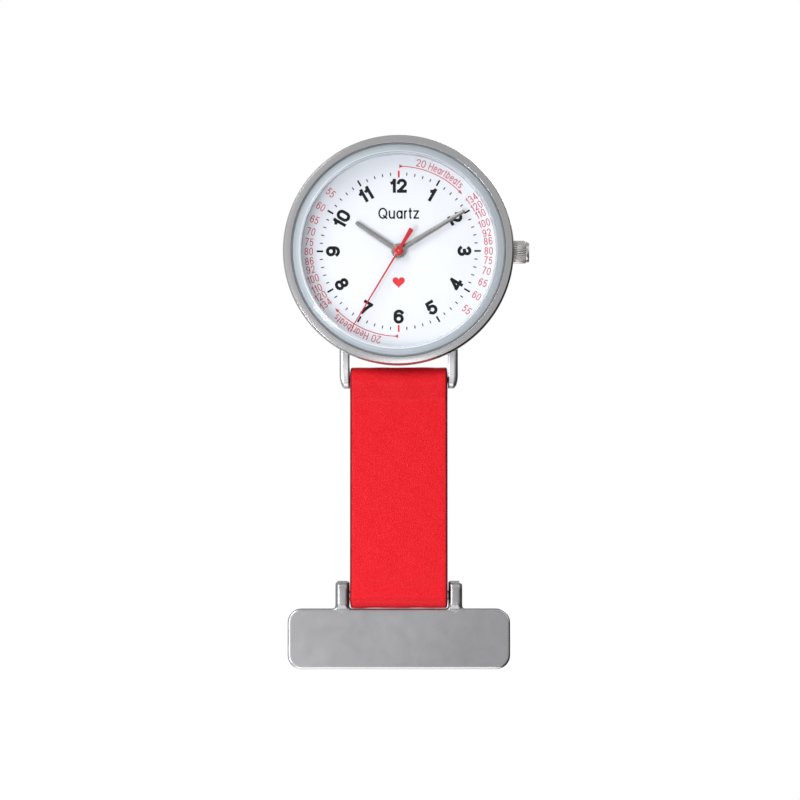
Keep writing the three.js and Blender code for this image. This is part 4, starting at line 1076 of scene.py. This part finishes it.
def rings():
    """The seal round the crystal, and the sloping ring between crystal and dial."""
    seal_top = SEAL_HIGH.z + SEAL_PROUD
    head_turned("crystal_seal", "crystal_gasket", "black_rubber", [
        (SEAL_INNER, SEAL_LOW.z, 0.03),
        (SEAL_HIGH.x, SEAL_LOW.z, 0.03),
        (SEAL_HIGH.x, seal_top, 0.06),
        (SEAL_INNER, seal_top, 0.06),
    ], finish=SEAL_GREY)
    (low_r, low_z), (high_r, high_z) = RING_FOOT
    head_turned("inner_ring", "rehaut_ring", "rehaut_metal", [
        (RING_INNER[0], RING_LOW.z, 0.02),
        (RING_HIGH.x, RING_LOW.z, 0.02),
        (RING_HIGH.x, RING_HIGH.z, 0.05),
        (RING_INNER[1], RING_HIGH.z, 0.05),
        (high_r, high_z, 0.03),
        (low_r, low_z, 0.03),
    ])


def dial_plate():
    """The white disc, with a hole for the hands' arbors."""
    head_turned("dial_plate", "dial", "dial_enamel", [
        (DIAL_HOLE, DIAL_LOW.z, 0.02),
        (DIAL_R, DIAL_LOW.z, 0.04),
        (DIAL_R, DIAL_TOP, 0.05),
        (DIAL_HOLE, DIAL_TOP, 0.04),
    ], sides=160)


# Each glyph is its width and its strokes, drawn along their middles in a box from 0 to 1 each way.
# An o marks a closed stroke; the ends of an open one reach half its weight further.
OVAL = arc(0.5, 0.67, 0.5, 0.33, 0, 180) + arc(0.5, 0.33, 0.5, 0.33, 180, 360)
SMALL_OVAL = arc(0.5, 0.36, 0.5, 0.36, 0, 354, 24)
SIX = [
    ("o", arc(0.5, 0.31, 0.5, 0.31, 0, 354, 24)),
    ("", arc(0.54, 0.68, 0.54, 0.32, 34, 180) + [(0.0, 0.34)]),
]
GLYPHS = {
    "0": (0.68, [("o", OVAL)]),
    "1": (0.38, [("", [(0.94, 0.0), (0.94, 1.0)]), ("", [(0.0, 0.76), (0.5, 0.82), (0.88, 0.97)])]),
    "2": (0.68, [
        ("", arc(0.49, 0.71, 0.49, 0.29, 165, -38) + [(0.09, 0.03)]),
        ("", [(0.02, 0.0), (0.98, 0.0)]),
    ]),
    "3": (0.68, [
        ("", arc(0.48, 0.745, 0.42, 0.255, 150, -90) + [(0.4, 0.49)]),
        ("", [(0.45, 0.51)] + arc(0.48, 0.27, 0.5, 0.265, 85, -152)),
    ]),
    "4": (0.72, [
        ("", [(0.74, 0.0), (0.74, 1.0)]),
        ("", [(0.72, 0.98), (0.04, 0.27)]),
        ("", [(0.0, 0.23), (1.0, 0.23)]),
    ]),
    "5": (0.68, [
        ("", [(0.93, 1.0), (0.17, 1.0), (0.08, 0.5)]),
        ("", arc(0.48, 0.32, 0.5, 0.32, 138, -148)),
    ]),
    "6": (0.68, SIX),
    "7": (0.66, [("", [(0.0, 1.0), (1.0, 1.0)]), ("", [(0.97, 0.97), (0.6, 0.5), (0.36, 0.0)])]),
    "8": (0.68, [
        ("o", arc(0.5, 0.755, 0.43, 0.245, 0, 354, 24)),
        ("o", arc(0.5, 0.265, 0.5, 0.265, 0, 354, 24)),
    ]),
    "9": (0.68, [(kind, [(1 - u, 1 - v) for u, v in stroke]) for kind, stroke in SIX]),
    "H": (0.7, [("", [(0, 0), (0, 1)]), ("", [(1, 0), (1, 1)]), ("", [(0, 0.5), (1, 0.5)])]),
    "Q": (0.8, [("o", arc(0.5, 0.5, 0.5, 0.5, 0, 354, 28)), ("", [(0.62, 0.24), (1.0, 0.0)])]),
    "a": (0.56, [("o", SMALL_OVAL), ("", [(1, 0), (1, 0.7)])]),
    "b": (0.56, [("o", SMALL_OVAL), ("", [(0, 0), (0, 1)])]),
    "e": (0.56, [("", [(0.1, 0.36), (0.96, 0.36)]), ("", arc(0.5, 0.36, 0.5, 0.36, 8, 312, 22))]),
    "r": (0.3, [("", [(0, 0), (0, 0.7)]), ("", arc(0.9, 0.42, 0.9, 0.3, 175, 95))]),
    "s": (0.48, [
        ("", arc(0.5, 0.53, 0.46, 0.19, 36, 266, 16) + arc(0.5, 0.175, 0.5, 0.175, 80, -144, 16)),
    ]),
    "t": (0.3, [
        ("", [(0.36, 0.94), (0.36, 0.16)] + arc(0.86, 0.16, 0.5, 0.16, 190, 255, 6)),
        ("", [(0.0, 0.72), (0.9, 0.72)]),
    ]),
    "u": (0.56, [
        ("", [(0, 0.7), (0, 0.27)] + arc(0.5, 0.27, 0.5, 0.27, 190, 350)),
        ("", [(1, 0.0), (1, 0.7)]),
    ]),
    "z": (0.5, [
        ("", [(0, 0.72), (0.98, 0.72)]),
        ("", [(0.96, 0.68), (0.04, 0.04)]),
        ("", [(0.02, 0.0), (1.0, 0.0)]),
    ]),
    " ": (0.3, []),
}


def ribbon(stroke, width, closed):
    """The quads of a stroke of that width, mitred at its corners."""
    points = [Vector(p) for p in stroke]
    points = [p for i, p in enumerate(points) if i == 0 or (p - points[i - 1]).length > 1e-6]
    count = len(points)
    sides = []
    for i, p in enumerate(points):
        before = points[i - 1] if closed or i > 0 else p
        after = points[(i + 1) % count] if closed or i < count - 1 else p
        inward = (p - before).normalized() if (p - before).length else (after - p).normalized()
        onward = (after - p).normalized() if (after - p).length else inward
        mean = (inward + onward).normalized()
        across = Vector((-mean.y, mean.x))
        reach = width / 2 / max(0.45, mean.dot(onward))
        sides.append((p + across * reach, p - across * reach))
    last = count if closed else count - 1
    quads = []
    for i in range(last):
        (a, b), (c, d) = sides[i], sides[(i + 1) % count]
        quads.append([a, b, d, c])
    return quads


def glyph(letter, height, weight, breadth):
    """(width, quads) of one letter, with its left foot at the origin."""
    share, strokes = GLYPHS[letter]
    width = share * height * breadth
    quads = []
    for kind, stroke in strokes:
        line = [
            Vector((weight / 2 + u * (width - weight), weight / 2 + v * (height - weight)))
            for u, v in stroke
        ]
        if kind != "o":
            line[0] += (line[0] - line[1]).normalized() * weight / 2
            line[-1] += (line[-1] - line[-2]).normalized() * weight / 2
        quads += ribbon(line, weight, kind == "o")
    return width, quads


def lettering(text, face):
    """The quads of a line of text in a type, about its own centre, one list for each letter."""
    height, weight, gap, breadth = face
    letters, x = [], 0.0
    for letter in text:
        width, quads = glyph(letter, height, weight, breadth)
        letters.append([[q + Vector((x, -height / 2)) for q in quad] for quad in quads])
        x += width + gap
    middle = (x - gap) / 2
    return [[[q - Vector((middle, 0)) for q in quad] for quad in letter] for letter in letters]


def set_down(letters, spot, turn):
    """The same letters, turned by so many degrees clockwise and moved to a spot."""
    rotation = Matrix.Rotation(math.radians(turn), 2)
    rotation.transpose()
    return [[[rotation @ q + spot for q in quad] for quad in letter] for letter in letters]


def bar_mark(inner, outer, width, degrees):
    """The outline of a straight mark along a radius."""
    across = polar(width / 2, degrees + 90)
    near, far = polar(inner, degrees), polar(outer, degrees)
    return [near - across, far - across, far + across, near + across]


# Types are (height, weight of the strokes, gap between letters, breadth).
NUMERAL_TYPE = (2.32, 0.51, 0.14, 1.06)
SCALE_TYPE = (1.24, 0.125, 0.19, 0.7)
LEGEND_TYPE = (1.24, 0.125, 0, 0.8)
WORD_TYPE = (1.86, 0.26, 0.22, 1.0)
NUMERAL_R = 10.83
# Marks are (inner radius, outer radius, width).
HOUR_MARK = (12.45, 13.52, 0.29)
MINUTE_MARK = (12.56, 13.06, 0.165)
RED_MARK = (12.2, 13.34, 0.3)
RATES = (134, 120, 110, 100, 92, 86, 80, 75, 70, 65, 60, 55)
BEATS = 20
RATE_TURN = BEATS * 360
RATE_R = 14.82
FIRST_RATE_NUDGE = 0.5
ARC_R = 14.06
ARC_WIDTH = 0.13
ARC_TURNS = (1.5, 46.5)
# The arrows at the arc's ends: degrees of tip and foot, and width.
ARROWS = ((3.2, 0.4, 0.62), (48.1, 45.1, 0.5))
LEGEND = f"{BEATS} Heartbeats"
LEGEND_R = 14.98
LEGEND_SPAN = (11.0, 44.5)
LEGEND_SPACE = 0.15
WORD = "Quartz"
WORD_Y = 6.28
HEART_Y = -5.2
HEART_HALF = 1.02
INK_HALF_THICK = 0.02


def printed(groups):
    """A closed thin body for each group of touching outlines."""
    points, faces = [], []
    for group in groups:
        more_points, more_faces = slab(group, DIAL_TOP - INK_HALF_THICK, DIAL_TOP + INK_HALF_THICK)
        faces += [tuple(i + len(points) for i in face) for face in more_faces]
        points += [p + Vector((0, HEAD_Y, 0)) for p in more_points]
    return points, faces


def numerals():
    """Hours 9 to 3 stand with their tops outward, 4 to 8 with their feet outward."""
    letters = []
    for hour in range(1, 13):
        outward = hour <= 3 or hour >= 9
        text = lettering(str(hour), NUMERAL_TYPE)
        letters += set_down(text, polar(NUMERAL_R, 30 * hour), 30 * hour + (0 if outward else 180))
    return letters


def minute_track():
    """A mark for every minute, longer at the hours. The red marks stand at 12 and 6."""
    marks = []
    for minute in range(60):
        if minute % 30 == 0:
            continue
        size = HOUR_MARK if minute % 5 == 0 else MINUTE_MARK
        marks.append([bar_mark(*size, 6 * minute)])
    return marks


def pulse_scale():
    """Rates by the angle that the second hand takes for 20 beats, on both sides of the dial."""
    letters = []
    for rate in RATES:
        angle = RATE_TURN / rate + (FIRST_RATE_NUDGE if rate == RATES[0] else 0)
        text = lettering(str(rate), SCALE_TYPE)
        for half in (0, 180):
            letters += set_down(text, polar(RATE_R, angle + half), angle - 90)
    return letters


def legend(half):
    """The scale's legend, set letter by letter on its circle."""
    widths = [GLYPHS[letter][0] + LEGEND_SPACE for letter in LEGEND]
    total = sum(widths)
    letters, passed = [], 0.0
    for letter, width in zip(LEGEND, widths):
        share = (passed + width / 2) / total
        angle = LEGEND_SPAN[0] + (LEGEND_SPAN[1] - LEGEND_SPAN[0]) * share + half
        text = lettering(letter, LEGEND_TYPE)
        letters += set_down(text, polar(LEGEND_R, angle), angle)
        passed += width
    return [letter for letter in letters if letter]


def scale_arc(half):
    """The thin arc of the legend with its arrow at each end, as joined outlines."""
    line = [polar(ARC_R, t + half) for t in np.linspace(*ARC_TURNS, 40)]
    shapes = ribbon(line, ARC_WIDTH, False)
    for tip, foot, width in ARROWS:
        shapes.append([
            polar(ARC_R, tip + half),
            polar(ARC_R - width / 2, foot + half),
            polar(ARC_R + width / 2, foot + half),
        ])
    return shapes


def heart():
    """A plain heart below the hands."""
    outline = []
    for t in np.linspace(0, FULL_TURN, 48, endpoint=False):
        x = 16 * math.sin(t) ** 3
        y = 13 * math.cos(t) - 5 * math.cos(2 * t) - 2 * math.cos(3 * t) - math.cos(4 * t)
        outline.append(Vector((x, y + 2)) * HEART_HALF / 16 + Vector((0, HEART_Y)))
    return outline


def dial_print():
    """All that is printed on the dial, one piece for each ink."""
    word = set_down(lettering(WORD, WORD_TYPE), Vector((0, WORD_Y)), 0)
    black = numerals() + minute_track() + word
    red = [[bar_mark(*RED_MARK, 0)], [bar_mark(*RED_MARK, 180)], [heart()]]
    scale = pulse_scale() + legend(0) + legend(180) + [scale_arc(0), scale_arc(180)]
    made("print_black", [(*printed(black), INK_BLACK)], "head", "dial_enamel")
    made("print_red", [(*printed(red), INK_RED)], "head", "dial_enamel")
    made("print_scale", [(*printed(scale), INK_SCALE)], "head", "dial_enamel")


# --- hands -------------------------------------------------------------------------------------

# node: (body, piece, angle, length, width at root and tip, hub and hole radius, the rims' share of height)
BATONS = {
    "hour_hand": ("hours", "hour_baton", 304.0, 8.52, 0.9, 0.7, 1.2, 0.62, 0.5),
    "minute_hand": ("minutes", "minute_baton", 58.7, 12.73, 0.9, 0.62, 0.95, 0.42, 0.08),
}
HUB_RIM = 0.04
SECOND_AT = 211.0
SECOND_LENGTH, TAIL_LENGTH = 14.87, 4.21
SECOND_Z = (5.7, 5.8)
SECOND_HALVES = (0.15, 0.08)
TAIL_HALVES = (0.22, 0.4)
SECOND_ROOT = 0.5
CAP_R, CAP_TOP_R = 0.8, 0.5
CAP_SLOPE = 0.12
PIVOT_R, PIVOT_DEPTH = 0.14, 0.05


def dial_place(degrees):
    """The hands' axis, turned so that y points along a hand at that angle."""
    return ON_HEAD @ Matrix.Rotation(-math.radians(degrees), 4, "Z")


def ridged(place, length, root, tip, low, high, rim_share):
    """A hand's blade with two sloping faces and a round tip, along place's y axis."""
    rim = low + (high - low) * rim_share
    bend = tip / 2
    stations = [(y, root + (tip - root) * y / length, high) for y in np.linspace(0, length - bend, 12)]
    for turn in np.radians(np.linspace(12, 84, 7)):
        y = length - bend + bend * math.sin(turn)
        stations.append((y, tip * math.cos(turn), high + (rim - high) * math.sin(turn)))
    rings = []
    for y, width, ridge in stations:
        section = [(-width / 2, low), (width / 2, low), (width / 2, rim), (0, ridge), (-width / 2, rim)]
        rings.append([place @ Vector((x, y, z)) for x, z in section])
    return swept(rings)


def hub(place, radius, hole, low, high):
    """A flat collar round the hands' axis."""
    corners = [(hole, low, 0), (radius, low, 0), (radius, high, HUB_RIM), (hole, high, HUB_RIM)]
    return turned(rounded(corners), place, sides=64)


def batons():
    """The hour and the minute hand."""
    for node, (body, name, angle, length, root, tip, hub_r, hole, rim_share) in BATONS.items():
        low, high = (corner.z for corner in extent(node))
        place = dial_place(angle)
        root_y = hub_r * 0.6
        start = place @ Matrix.Translation((0, root_y, 0))
        blade = ridged(start, length - root_y, root, tip, low, high, rim_share)
        collar = hub(place, hub_r, hole, low, high)
        made(name, [blade, collar], body, "hand_grey", node, origin=ON_HEAD_POINT, crease=6)


def second_hand():
    """A thin red needle, a wider red tail and a domed red cap."""
    place = dial_place(SECOND_AT)
    low, high = (corner.z for corner in extent("second_hand"))
    (root, tip), (neck, end) = SECOND_HALVES, TAIL_HALVES
    needle = [(-root, SECOND_ROOT), (root, SECOND_ROOT), (tip, SECOND_LENGTH), (-tip, SECOND_LENGTH)]
    tail = rounded([
        (neck, -SECOND_ROOT, 0),
        (-neck, -SECOND_ROOT, 0),
        (-end, -TAIL_LENGTH, 0.12),
        (end, -TAIL_LENGTH, 0.12),
    ])
    parts = []
    for outline in (needle, tail):
        body, faces = slab([outline], *SECOND_Z)
        parts.append(([place @ p for p in body], faces))
    cap = rounded([
        (0, low, 0),
        (CAP_R, low, 0.02),
        (CAP_R, high - CAP_SLOPE, 0.06),
        (CAP_TOP_R, high, 0.1),
        (PIVOT_R, high, 0.02),
        (PIVOT_R - 0.02, high - PIVOT_DEPTH, 0.01),
        (0, high - PIVOT_DEPTH, 0),
    ])
    parts.append(turned(cap, place, sides=64, closed=False))
    made("second_needle", parts, "seconds", "hand_red", "second_hand", origin=ON_HEAD_POINT)


# --- crown -------------------------------------------------------------------------------------

FLUTES = 28
FLUTE_DEPTH = 0.2
FLUTE_SIDES = 8
CROWN_R = (CROWN_HIGH.y - CROWN_LOW.y) / 2
CROWN_STEP_R = 1.74
# Stations from the crown's inner end, and back from its outer end: distance, radius, share of flutes.
CROWN_START = (
    (0, 1.0, 0), (0, CROWN_R - 0.22, 0), (0.05, CROWN_R - 0.1, 0.3), (0.16, CROWN_R, 1),
)
CROWN_END = (
    (0.72, CROWN_R, 1), (0.6, CROWN_R - 0.1, 0.5), (0.56, CROWN_R - 0.2, 0), (0.53, CROWN_STEP_R, 0),
    (0.14, CROWN_STEP_R, 0), (0.04, CROWN_STEP_R - 0.06, 0), (0, CROWN_STEP_R - 0.18, 0), (0, 0.9, 0),
)


def crown():
    """Fluted round its body, with a smooth smaller end."""
    place = along_x(y=HEAD_Y, z=(CROWN_HIGH.z + CROWN_LOW.z) / 2)
    stations = [(CROWN_LOW.x + along, radius, amount) for along, radius, amount in CROWN_START]
    stations += [(CROWN_HIGH.x - along, radius, amount) for along, radius, amount in CROWN_END]
    sides = FLUTES * FLUTE_SIDES
    rings = []
    for along, base, amount in stations:
        ring = []
        for i in range(sides):
            angle = FULL_TURN * i / sides
            groove = 0.5 + 0.5 * math.cos(FLUTES * angle)
            r = base - FLUTE_DEPTH * amount * groove
            ring.append(place @ Vector((r * math.cos(angle), r * math.sin(angle), along)))
        rings.append(ring)
    made("crown_fluted", [swept(rings)], "crown", "crown_steel", "crown", origin=ON_HEAD_POINT, crease=40)


# --- carried-over nodes ------------------------------------------------------------------------


def finish_cad_nodes():
    """Every CAD node keeps its shape and takes its slot's procedural finish."""
    for thing in frame["nodes"].values():
        slot = thing.data.materials[0].name.split(".")[0]
        thing.data.materials.clear()
        thing.data.materials.append(FINISHES[slot])


# --- studio ------------------------------------------------------------------------------------

VIEW_FROM_RIGHT = 1.5
VIEW_FROM_BELOW = 4.0
LENS = 200
SENSOR = 36
FIELD_MM = 131.3
VIEW_CENTRE = Vector((0.24, 39.1, 5.5))
HALFWAY = (0, HEAD_Y / 2, 0)
NEEDLE = (0, 0, 0)
# Area lights: name, direction from the face point they aim at, distance, size, watts, face point.
LIGHTS = (
    ("key", (-1.15, 1.2, 1.0), 0.8, (0.34, 0.34), 2.4, HALFWAY),
    ("low", (0.0, -0.29, 1.0), 0.8, (0.12, 0.18), 0.17, HALFWAY),
    ("left", (-0.75, -0.05, 1.0), 0.15, (0.04, 0.06), 0.12, NEEDLE),
    ("under", (-0.1, -1.0, 0.15), 0.5, (0.5, 0.5), 1.2, NEEDLE),
    ("rear", (0.5, 0.6, -1.0), 0.8, (0.4, 0.4), 3.0, HALFWAY),
)
# What the metal mirrors, as ramps over a direction's share: start, end, value before, value after.
FRONT_RISE = (0.1, 0.5, 0.1, 1.45)
FRONT_FALL = (0.55, 0.83, 0.0, 0.79)
BACK_GLOW = (0.1, 0.9, 0.0, 0.8)
SIDE_GLOW = (0.1, 0.6, 0.0, 0.25)
CORNER_SHADE = (0.45, 0.95, 1.0, 0.1)
CORNER_SLOPE = 0.8
WHITE = (1, 1, 1, 1)
FLOOR_COLOUR = (0.86, 0.86, 0.86)
FLOOR_R = 0.12
FLOOR_Z = -0.2


def face_direction(right, up, out):
    """A direction in the face frame as a unit vector of the hanging frame."""
    return (HANGING.to_3x3() @ Vector((right, up, out))).normalized()


def camera():
    """Faces the dial from a little to the right and below, turned so that 12 is on top."""
    data = bpy.data.cameras.new("camera")
    data.lens = LENS
    data.sensor_width = SENSOR
    data.clip_start = 0.01
    data.clip_end = 20
    thing = placed("camera", data)
    back = face_direction(
        math.tan(math.radians(VIEW_FROM_RIGHT)), -math.tan(math.radians(VIEW_FROM_BELOW)), 1
    )
    up = face_direction(0, 1, 0)
    right = up.cross(back).normalized()
    up = back.cross(right)
    target = HANGING @ VIEW_CENTRE
    turn = Matrix((right, up, back)).transposed().to_4x4()
    thing.matrix_world = Matrix.Translation(target + back * FIELD_MM * MM * LENS / SENSOR) @ turn
    bpy.context.scene.camera = thing


def softbox(name, direction, distance, size, watts, aim):
    """An area light that faces a face point from a direction of the face frame."""
    data = bpy.data.lights.new(name, "AREA")
    data.shape = "RECTANGLE"
    data.size, data.size_y = size
    data.energy = watts
    away = face_direction(*direction)
    thing = placed(name, data, HANGING @ Vector(aim) + away * distance)
    thing.rotation_mode = "QUATERNION"
    thing.rotation_quaternion = away.to_track_quat("Z", "Y")


def world():
    """White to the eye. What the metal mirrors is lighter in front and behind and on one side."""
    scene = bpy.context.scene
    scene.world = bpy.data.worlds.new("studio")
    scene.world.use_nodes = True
    scene.world.node_tree.nodes.clear()
    tree = Tree(scene.world.node_tree)

    def soft(value, numbers):
        return tree.ramp(value, *numbers, interpolation_type="SMOOTHSTEP")

    x, y, z = tree.split(tree.place("Generated"))
    front = tree.maths("MULTIPLY", y, -1.0)
    level = tree.maths("SUBTRACT", soft(front, FRONT_RISE), soft(front, FRONT_FALL))
    level = tree.maths("ADD", tree.maths("ADD", level, soft(x, SIDE_GLOW)), soft(y, BACK_GLOW))
    lower_right = tree.maths("SUBTRACT", tree.maths("MULTIPLY", z, CORNER_SLOPE), x)
    light = tree.maths("MULTIPLY", level, soft(lower_right, CORNER_SHADE))
    mirrored = tree.add("Background", {"Color": WHITE, "Strength": light})
    seen = tree.add("Background", {"Color": WHITE})
    to_eye = tree.add("LightPath", {})
    mixed = tree.add("MixShader", {0: to_eye, 1: mirrored, 2: seen})
    output = tree.nodes.new("ShaderNodeOutputWorld")
    tree.links.new(mixed, output.inputs["Surface"])


def floor():
    """A pale round floor under the hanging watch."""
    mesh = bmesh.new()
    bmesh.ops.create_circle(mesh, cap_ends=True, segments=96, radius=FLOOR_R)
    data = bpy.data.meshes.new("floor")
    mesh.to_mesh(data)
    mesh.free()
    f = Finish("floor_pale", FLOOR_COLOUR)
    f.set(Roughness=0.6)
    f.tint(f.noise(0.004, 2), (0.85, 0.85, 0.85), (0.88, 0.88, 0.88))
    data.materials.append(f.material)
    placed("floor", data, (0, 0, FLOOR_Z))


def studio():
    """Camera, lights, surroundings and floor."""
    camera()
    world()
    for light in LIGHTS:
        softbox(*light)
    floor()
    bpy.context.scene.view_settings.view_transform = "Standard"


# --- the watch ---------------------------------------------------------------------------------

studio()
finish_cad_nodes()
brooch_bar()
strap_rod()
spring_bar()
pin_base()
pin_needle()
pin_rivet()
catch_sleeve()
strap()
case_body()
bezel()
case_back()
crystal()
rings()
dial_plate()
dial_print()
batons()
second_hand()
crown()
